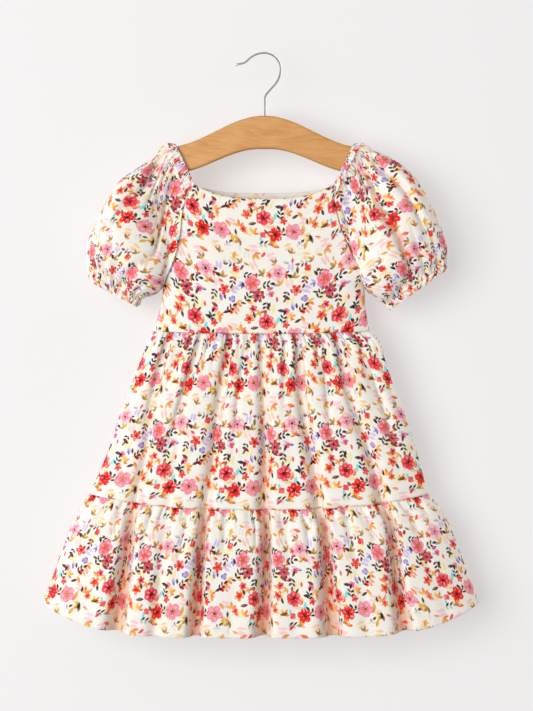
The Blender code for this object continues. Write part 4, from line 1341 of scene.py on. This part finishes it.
WASH_ROWS = scattered_rows(5, 4, (
    ((LEMON, LEMON), (BLUSH, BLUSH), (PEACH, LEMON)),
    ((LEMON, LEMON), (BLUSH, PEACH), (LILAC, LILAC)),
    ((LILAC, LILAC), (LEMON, AMBER), (BLUSH, LEMON)),
    ((LILAC, BLUSH), (LEMON, LEMON), (PEACH, CORAL)),
    ((TURQUOISE, TURQUOISE), (PEACH, LEMON), (BLUSH, BLUSH)),
    ((LEMON, LEMON), (BLUSH, BLUSH), (LEMON, PEACH)),
), 0.8, 1.0)


def sprigs(place, under, mottle):
    """Two pairs of leaves on a thin stem, and a leaf at its tip."""
    number, at = planted(place, (4, 5, "columns"), (0.35, 0.0), (1.8, 3.6), SPRIG_ROWS)
    first, second, size = dyes_of(number, SPRIG_ROWS)
    x, y, _ = at.parts()
    x = x / size
    y = y / size + 0.9 * (x * 0.28).math("SINE")
    side = abs(y)
    pair = ((x + 7.2) / 5.2).math("FRACT") * 5.2
    pairs = leaf((pair * 0.64 + side * 0.77) / 7.0, side * 0.64 - pair * 0.77, 1.65)
    pairs = soft_edge(pairs, 0.3) * soft_edge(5.2 - abs(x + 2.0), 0.05)
    tip = soft_edge(leaf((x - 2.2) / 8.0, y, 2.1), 0.35)
    stem = soft_edge(0.30 - side, 0.2) * soft_edge(6.0 - abs(x + 3.4), 0.3)
    mask = pairs.math("MAXIMUM", tip).math("MAXIMUM", stem * 0.8)
    shade = second.mixed(first, soft_edge(x + mottle * 8 - 4, 5.0))
    return under.mixed(shade, mask * (0.93 + 0.07 * mottle))


def trios(place, under, mottle):
    """Three pointed leaves that share one foot."""
    number, at = planted(place, (4, 5, "columns"), (0.85, 0.5), (3.4, 5.4), TRIO_ROWS)
    first, second, size = dyes_of(number, TRIO_ROWS)
    x, y, _ = at.parts()
    x = x / size + 5.0
    y = y / size
    side = abs(y)
    middle = leaf(x / 11.0, y, 2.4)
    outer = leaf((x * 0.62 + side * 0.78 - 0.6) / 8.8, side * 0.62 - x * 0.78, 1.9)
    stem = soft_edge(0.25 - side, 0.2) * soft_edge(2.0 - abs(x + 1.4), 0.3)
    mask = soft_edge(middle.math("MAXIMUM", outer), 0.4).math("MAXIMUM", stem * 0.7)
    shade = second.mixed(first, soft_edge(x * 0.5 + y + mottle * 5 - 4.0, 2.0))
    return under.mixed(shade, mask * (0.86 + 0.14 * mottle))


def single_leaves(place, slide, table, width, under, mottle):
    """Loose leaves, each darker along one side."""
    number, at = planted(place, (5, 6, "columns"), slide, (3.2, 4.6), table)
    first, second, size = dyes_of(number, table)
    x, y, _ = at.parts()
    x = x / size + 6.0
    y = y / size
    shade = second.mixed(first, soft_edge(x * 0.3 + y + mottle * 3 - 2.5, 2.0))
    return under.mixed(shade, soft_edge(leaf(x / 12.0, y, width), 0.4) * (0.88 + 0.12 * mottle))


def washes(place, under, mottle):
    """Large, very pale leaves with blurred edges, which lie under everything."""
    number, at = planted(place, (4, 6, "columns"), (0.1, 0.3), (2.6, 2.6), WASH_ROWS)
    first, second, size = dyes_of(number, WASH_ROWS)
    x, y, _ = at.parts()
    x = x / size + 8.0
    petal = leaf(x / 16.0, abs(y / size) - 2.8, 2.8)
    shade = second.mixed(first, soft_edge(x, 12.0))
    return under.mixed(shade, soft_edge(petal + (mottle - 0.5) * 1.6, 1.0) * 0.85)


def pale_band(place):
    """1 in the middle of the pale band, which comes once in a repeat, and 0 outside it."""
    height = place.parts()[1]
    from_middle = abs((height + 0.5).math("FRACT") - 0.5) * TILE[1]
    return soft_edge(15.0 - from_middle, 6.0)


# %% The cotton, right side and reverse
REVERSE_STRENGTH = 0.42  # how much of the print shows through on the reverse
WEAVE = 9.0              # turn of the weave's wave for each millimetre, in radians
# Painted shade: deep in the folds the print's colour is multiplied by this warm tint.
FOLD_SHADE_TINT = (1.0, 0.76, 0.67)    # what is left of light that goes to and fro in a deep fold


def printed_cotton(name):
    """The print on woven cotton with a soft sheen and painted shade deep in its folds, and the name of
    the node that fades it.
    """
    material, shader, start = new_material(name)
    tree = material.node_tree
    mm = start.node("UVMap", uv_map="cloth").vector("MULTIPLY", (1000.0, 1000.0, 0.0))
    mottle = mm.node("TexNoise", {"Vector": mm, "Scale": 0.24, "Detail": 3.0, "Roughness": 0.6})
    mottle = soft_edge(mottle - 0.3, 0.4)
    wander = mm.node("TexNoise", {"Vector": mm, "Scale": 0.55, "Detail": 1.0}, "Color")
    wander = wander.vector("MULTIPLY_ADD", (0.9, 0.9, 0.0), (-0.45, -0.45, 0.0))
    place = mm.vector("ADD", wander).vector("MULTIPLY", (1 / TILE[0], 1 / TILE[1], 0.0))
    cloudy = mm.node("TexNoise", {"Vector": mm, "Scale": 0.03, "Detail": 1.0})
    ground = mm.node("Mix", {0: cloudy, 6: (*CREAM, 1.0), 7: (*WARM_CREAM, 1.0)}, 2, data_type="RGBA")
    drawn = washes(place, ground, mottle)
    drawn = single_leaves(place, (0.6, 0.3), WARM_LEAF_ROWS, 2.6, drawn, mottle)
    drawn = trios(place, drawn, mottle)
    light_layers = drawn
    drawn = flowers(place, (4, 4, "columns"), (0.3, 0.0), (5.5, 10.5), SMALL_FLOWERS, drawn, mottle)
    drawn = sprigs(place, drawn, mottle)
    drawn = single_leaves(place, (0.1, -0.4), DARK_LEAF_ROWS, 2.5, drawn, mottle)
    drawn = drawn.mixed(light_layers, pale_band(place) * 0.9)
    drawn = flowers(place, (2, 2, "rows"), (0.0, 0.0), (11.0, 21.0), LARGE_FLOWERS, drawn, mottle)
    drawn = flowers(place, (2, 2, "rows"), (0.5, 0.0), (11.0, 21.0), OTHER_FLOWERS, drawn, mottle)
    seen = ground.mixed(drawn, 1.0)
    # Painted shade: by the fold number, the print turns warmer and darker deep in the folds.
    fold_shaded = seen.vector("MULTIPLY", FOLD_SHADE_TINT)
    painted_fold_shade = seen.mixed(fold_shaded, start.node("Attribute", output=2, attribute_name="fold"))
    across_threads, down_threads, _ = mm.vector("MULTIPLY", (WEAVE, WEAVE, 0.0)).parts()
    weave = across_threads.math("SINE") * down_threads.math("SINE")
    slub = mm.node("TexNoise", {"Vector": mm, "Scale": 0.9, "Detail": 3.0})
    bump = mm.node("Bump", {"Height": weave * 0.35 + slub, "Distance": 0.00018, "Strength": 0.5})
    feed(shader, tree, Base_Color=painted_fold_shade, Roughness=0.88, Normal=bump, Specular_IOR_Level=0.25,
         Sheen_Weight=0.06, Sheen_Roughness=0.5, Sheen_Tint=(1.0, 0.98, 0.94, 1.0))
    return material, seen.socket.node.name


cotton, shown = printed_cotton("printed_cotton")
cotton_inside = cotton.copy()
cotton_inside.name = "printed_cotton_inside"
cotton_inside.node_tree.nodes[shown].inputs[0].default_value = REVERSE_STRENGTH
print("print nodes:", len(cotton.node_tree.nodes))

# %% [markdown]
# ## Beech and bright wire
#
# The hanger's board is sawn from a beech plank, eased along its edges and given a
# honey-tinted varnish. Growth rings cross its face as long faint arcs, because the saw
# cuts a log's round layers almost lengthwise, and beech has tiny dark flecks along its
# grain. A picture of wood would smear over the edges, so the rings are worked out in the
# solid: a point's distance from the heart of the log says which ring it lies in. The
# hook is drawn steel wire, polished, with faint rubbed marks that only change how
# sharply it shines.

# %% Beech
HONEY = (0.665, 0.345, 0.112)
PALE_HONEY = (0.745, 0.430, 0.165)
DEEP_HONEY = (0.560, 0.245, 0.060)
FLECK = (0.330, 0.125, 0.030)
HEART = (44.0, 152.0)    # the board's face lies this far from the heart, out and up, in mm
RING_WIDTH = 5.0


def solid_mm(start):
    """Places in the solid, in millimetres."""
    return start.node("TexCoord", output=3).vector("MULTIPLY", (1000.0, 1000.0, 1000.0))


def noise(place, stretch, detail=2.0, output=0):
    """A noise, with its own scale along x, y and z."""
    vector = place.vector("MULTIPLY", stretch)
    return place.node("TexNoise", {"Vector": vector, "Scale": 1.0, "Detail": detail}, output)


def beech_finish():
    """Rings, long streaks, short flecks and slow drifts of tone, under a thin varnish."""
    material, shader, start = new_material("beech")
    tree = material.node_tree
    mm = solid_mm(start)
    x, y, z = mm.parts()
    wander = noise(mm, (0.012, 0.05, 0.05)) * 26.0
    out = x * 0.10 + HEART[0] - y
    up = z + HEART[1] + wander - abs(x) * 0.16
    rings = out.node("CombineXYZ", (out, up)).vector("LENGTH", output="Value") / RING_WIDTH
    late = rings.math("FRACT").math("POWER", 2.4)
    streaks = noise(mm, (0.045, 0.9, 0.9), 4.0)
    figure = soft_edge(noise(mm, (0.035, 0.02, 0.060), 1.0) - 0.42, 0.20)
    grain = soft_edge(late * 0.30 + streaks - 0.42, 0.42)
    wood = wood_colour(start, grain, figure, x)
    flecks = soft_edge(noise(mm, (0.45, 3.2, 3.2), 1.0) - 0.66, 0.06) * 0.45
    wood = wood.mixed((*FLECK, 1.0), flecks)
    bump = mm.node("Bump", {"Height": streaks * 0.4 - flecks, "Distance": 0.0001, "Strength": 0.35})
    feed(shader, tree, Base_Color=wood, Roughness=streaks * 0.16 + 0.34, Normal=bump,
         Coat_Weight=0.22, Coat_Roughness=0.28, Specular_IOR_Level=0.4)
    return material


def wood_colour(start, grain, figure, x):
    """Honey to deep honey along the grain, paler in the figure and towards the left arm."""
    honey = start.node("Mix", {0: grain, 6: (*HONEY, 1.0), 7: (*DEEP_HONEY, 1.0)}, 2, data_type="RGBA")
    honey = honey.mixed((*PALE_HONEY, 1.0), figure * 0.32)
    return honey.mixed((*DEEP_HONEY, 1.0), soft_edge(x + 90.0, 200.0) * 0.30)


beech = beech_finish()
print("beech rings every", RING_WIDTH, "mm")

# %% Bright wire
def wire_finish():
    """Polished steel whose shine is a little blunter where it was rubbed."""
    material, shader, start = new_material("bright_wire")
    mm = solid_mm(start)
    rubbed = noise(mm, (1.2, 1.2, 0.35), 3.0)
    tarnish = soft_edge(noise(mm, (0.11, 0.11, 0.11)) - 0.45, 0.25)
    steel = start.node("Mix", {0: tarnish, 6: (0.66, 0.66, 0.67, 1.0), 7: (0.56, 0.56, 0.56, 1.0)}, 2,
                       data_type="RGBA")
    bump = mm.node("Bump", {"Height": rubbed, "Distance": 0.00003, "Strength": 0.4})
    feed(shader, material.node_tree, Base_Color=steel, Metallic=1.0, Roughness=rubbed * 0.2 + 0.12,
         Normal=bump)
    return material


bright_wire = wire_finish()
print("wire finish:", len(bright_wire.node_tree.nodes), "nodes")

# %% [markdown]
# ## Dressing the pieces
#
# Every shell takes the printed right side on its outer face and its edges, and the paler
# reverse on its inner face. The strip inside the back neck is the other way round: it was
# turned over, so its reverse is what shows. The board and the hook keep their packed
# shapes and only change their finish.

# %% Finishes on the pieces
def dress(piece, outside, inside):
    """Two finishes for a shell: its outer face and edges, then its inner face."""
    piece.data.materials.append(outside)
    piece.data.materials.append(inside)


shells = [*tiers, *bodices, *sleeves[0], *sleeves[1]]
for shell in shells:
    dress(shell, cotton, cotton_inside)
dress(neck_edge, cotton_inside, cotton)
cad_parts["hanger_board"].material_slots[0].material = beech
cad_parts["hanger_hook"].material_slots[0].material = bright_wire
print("dressed", len(shells) + 1, "shells, the board and the hook")

print("declared", len(tiers) + len(bodices) + len(sleeves), "sheets")
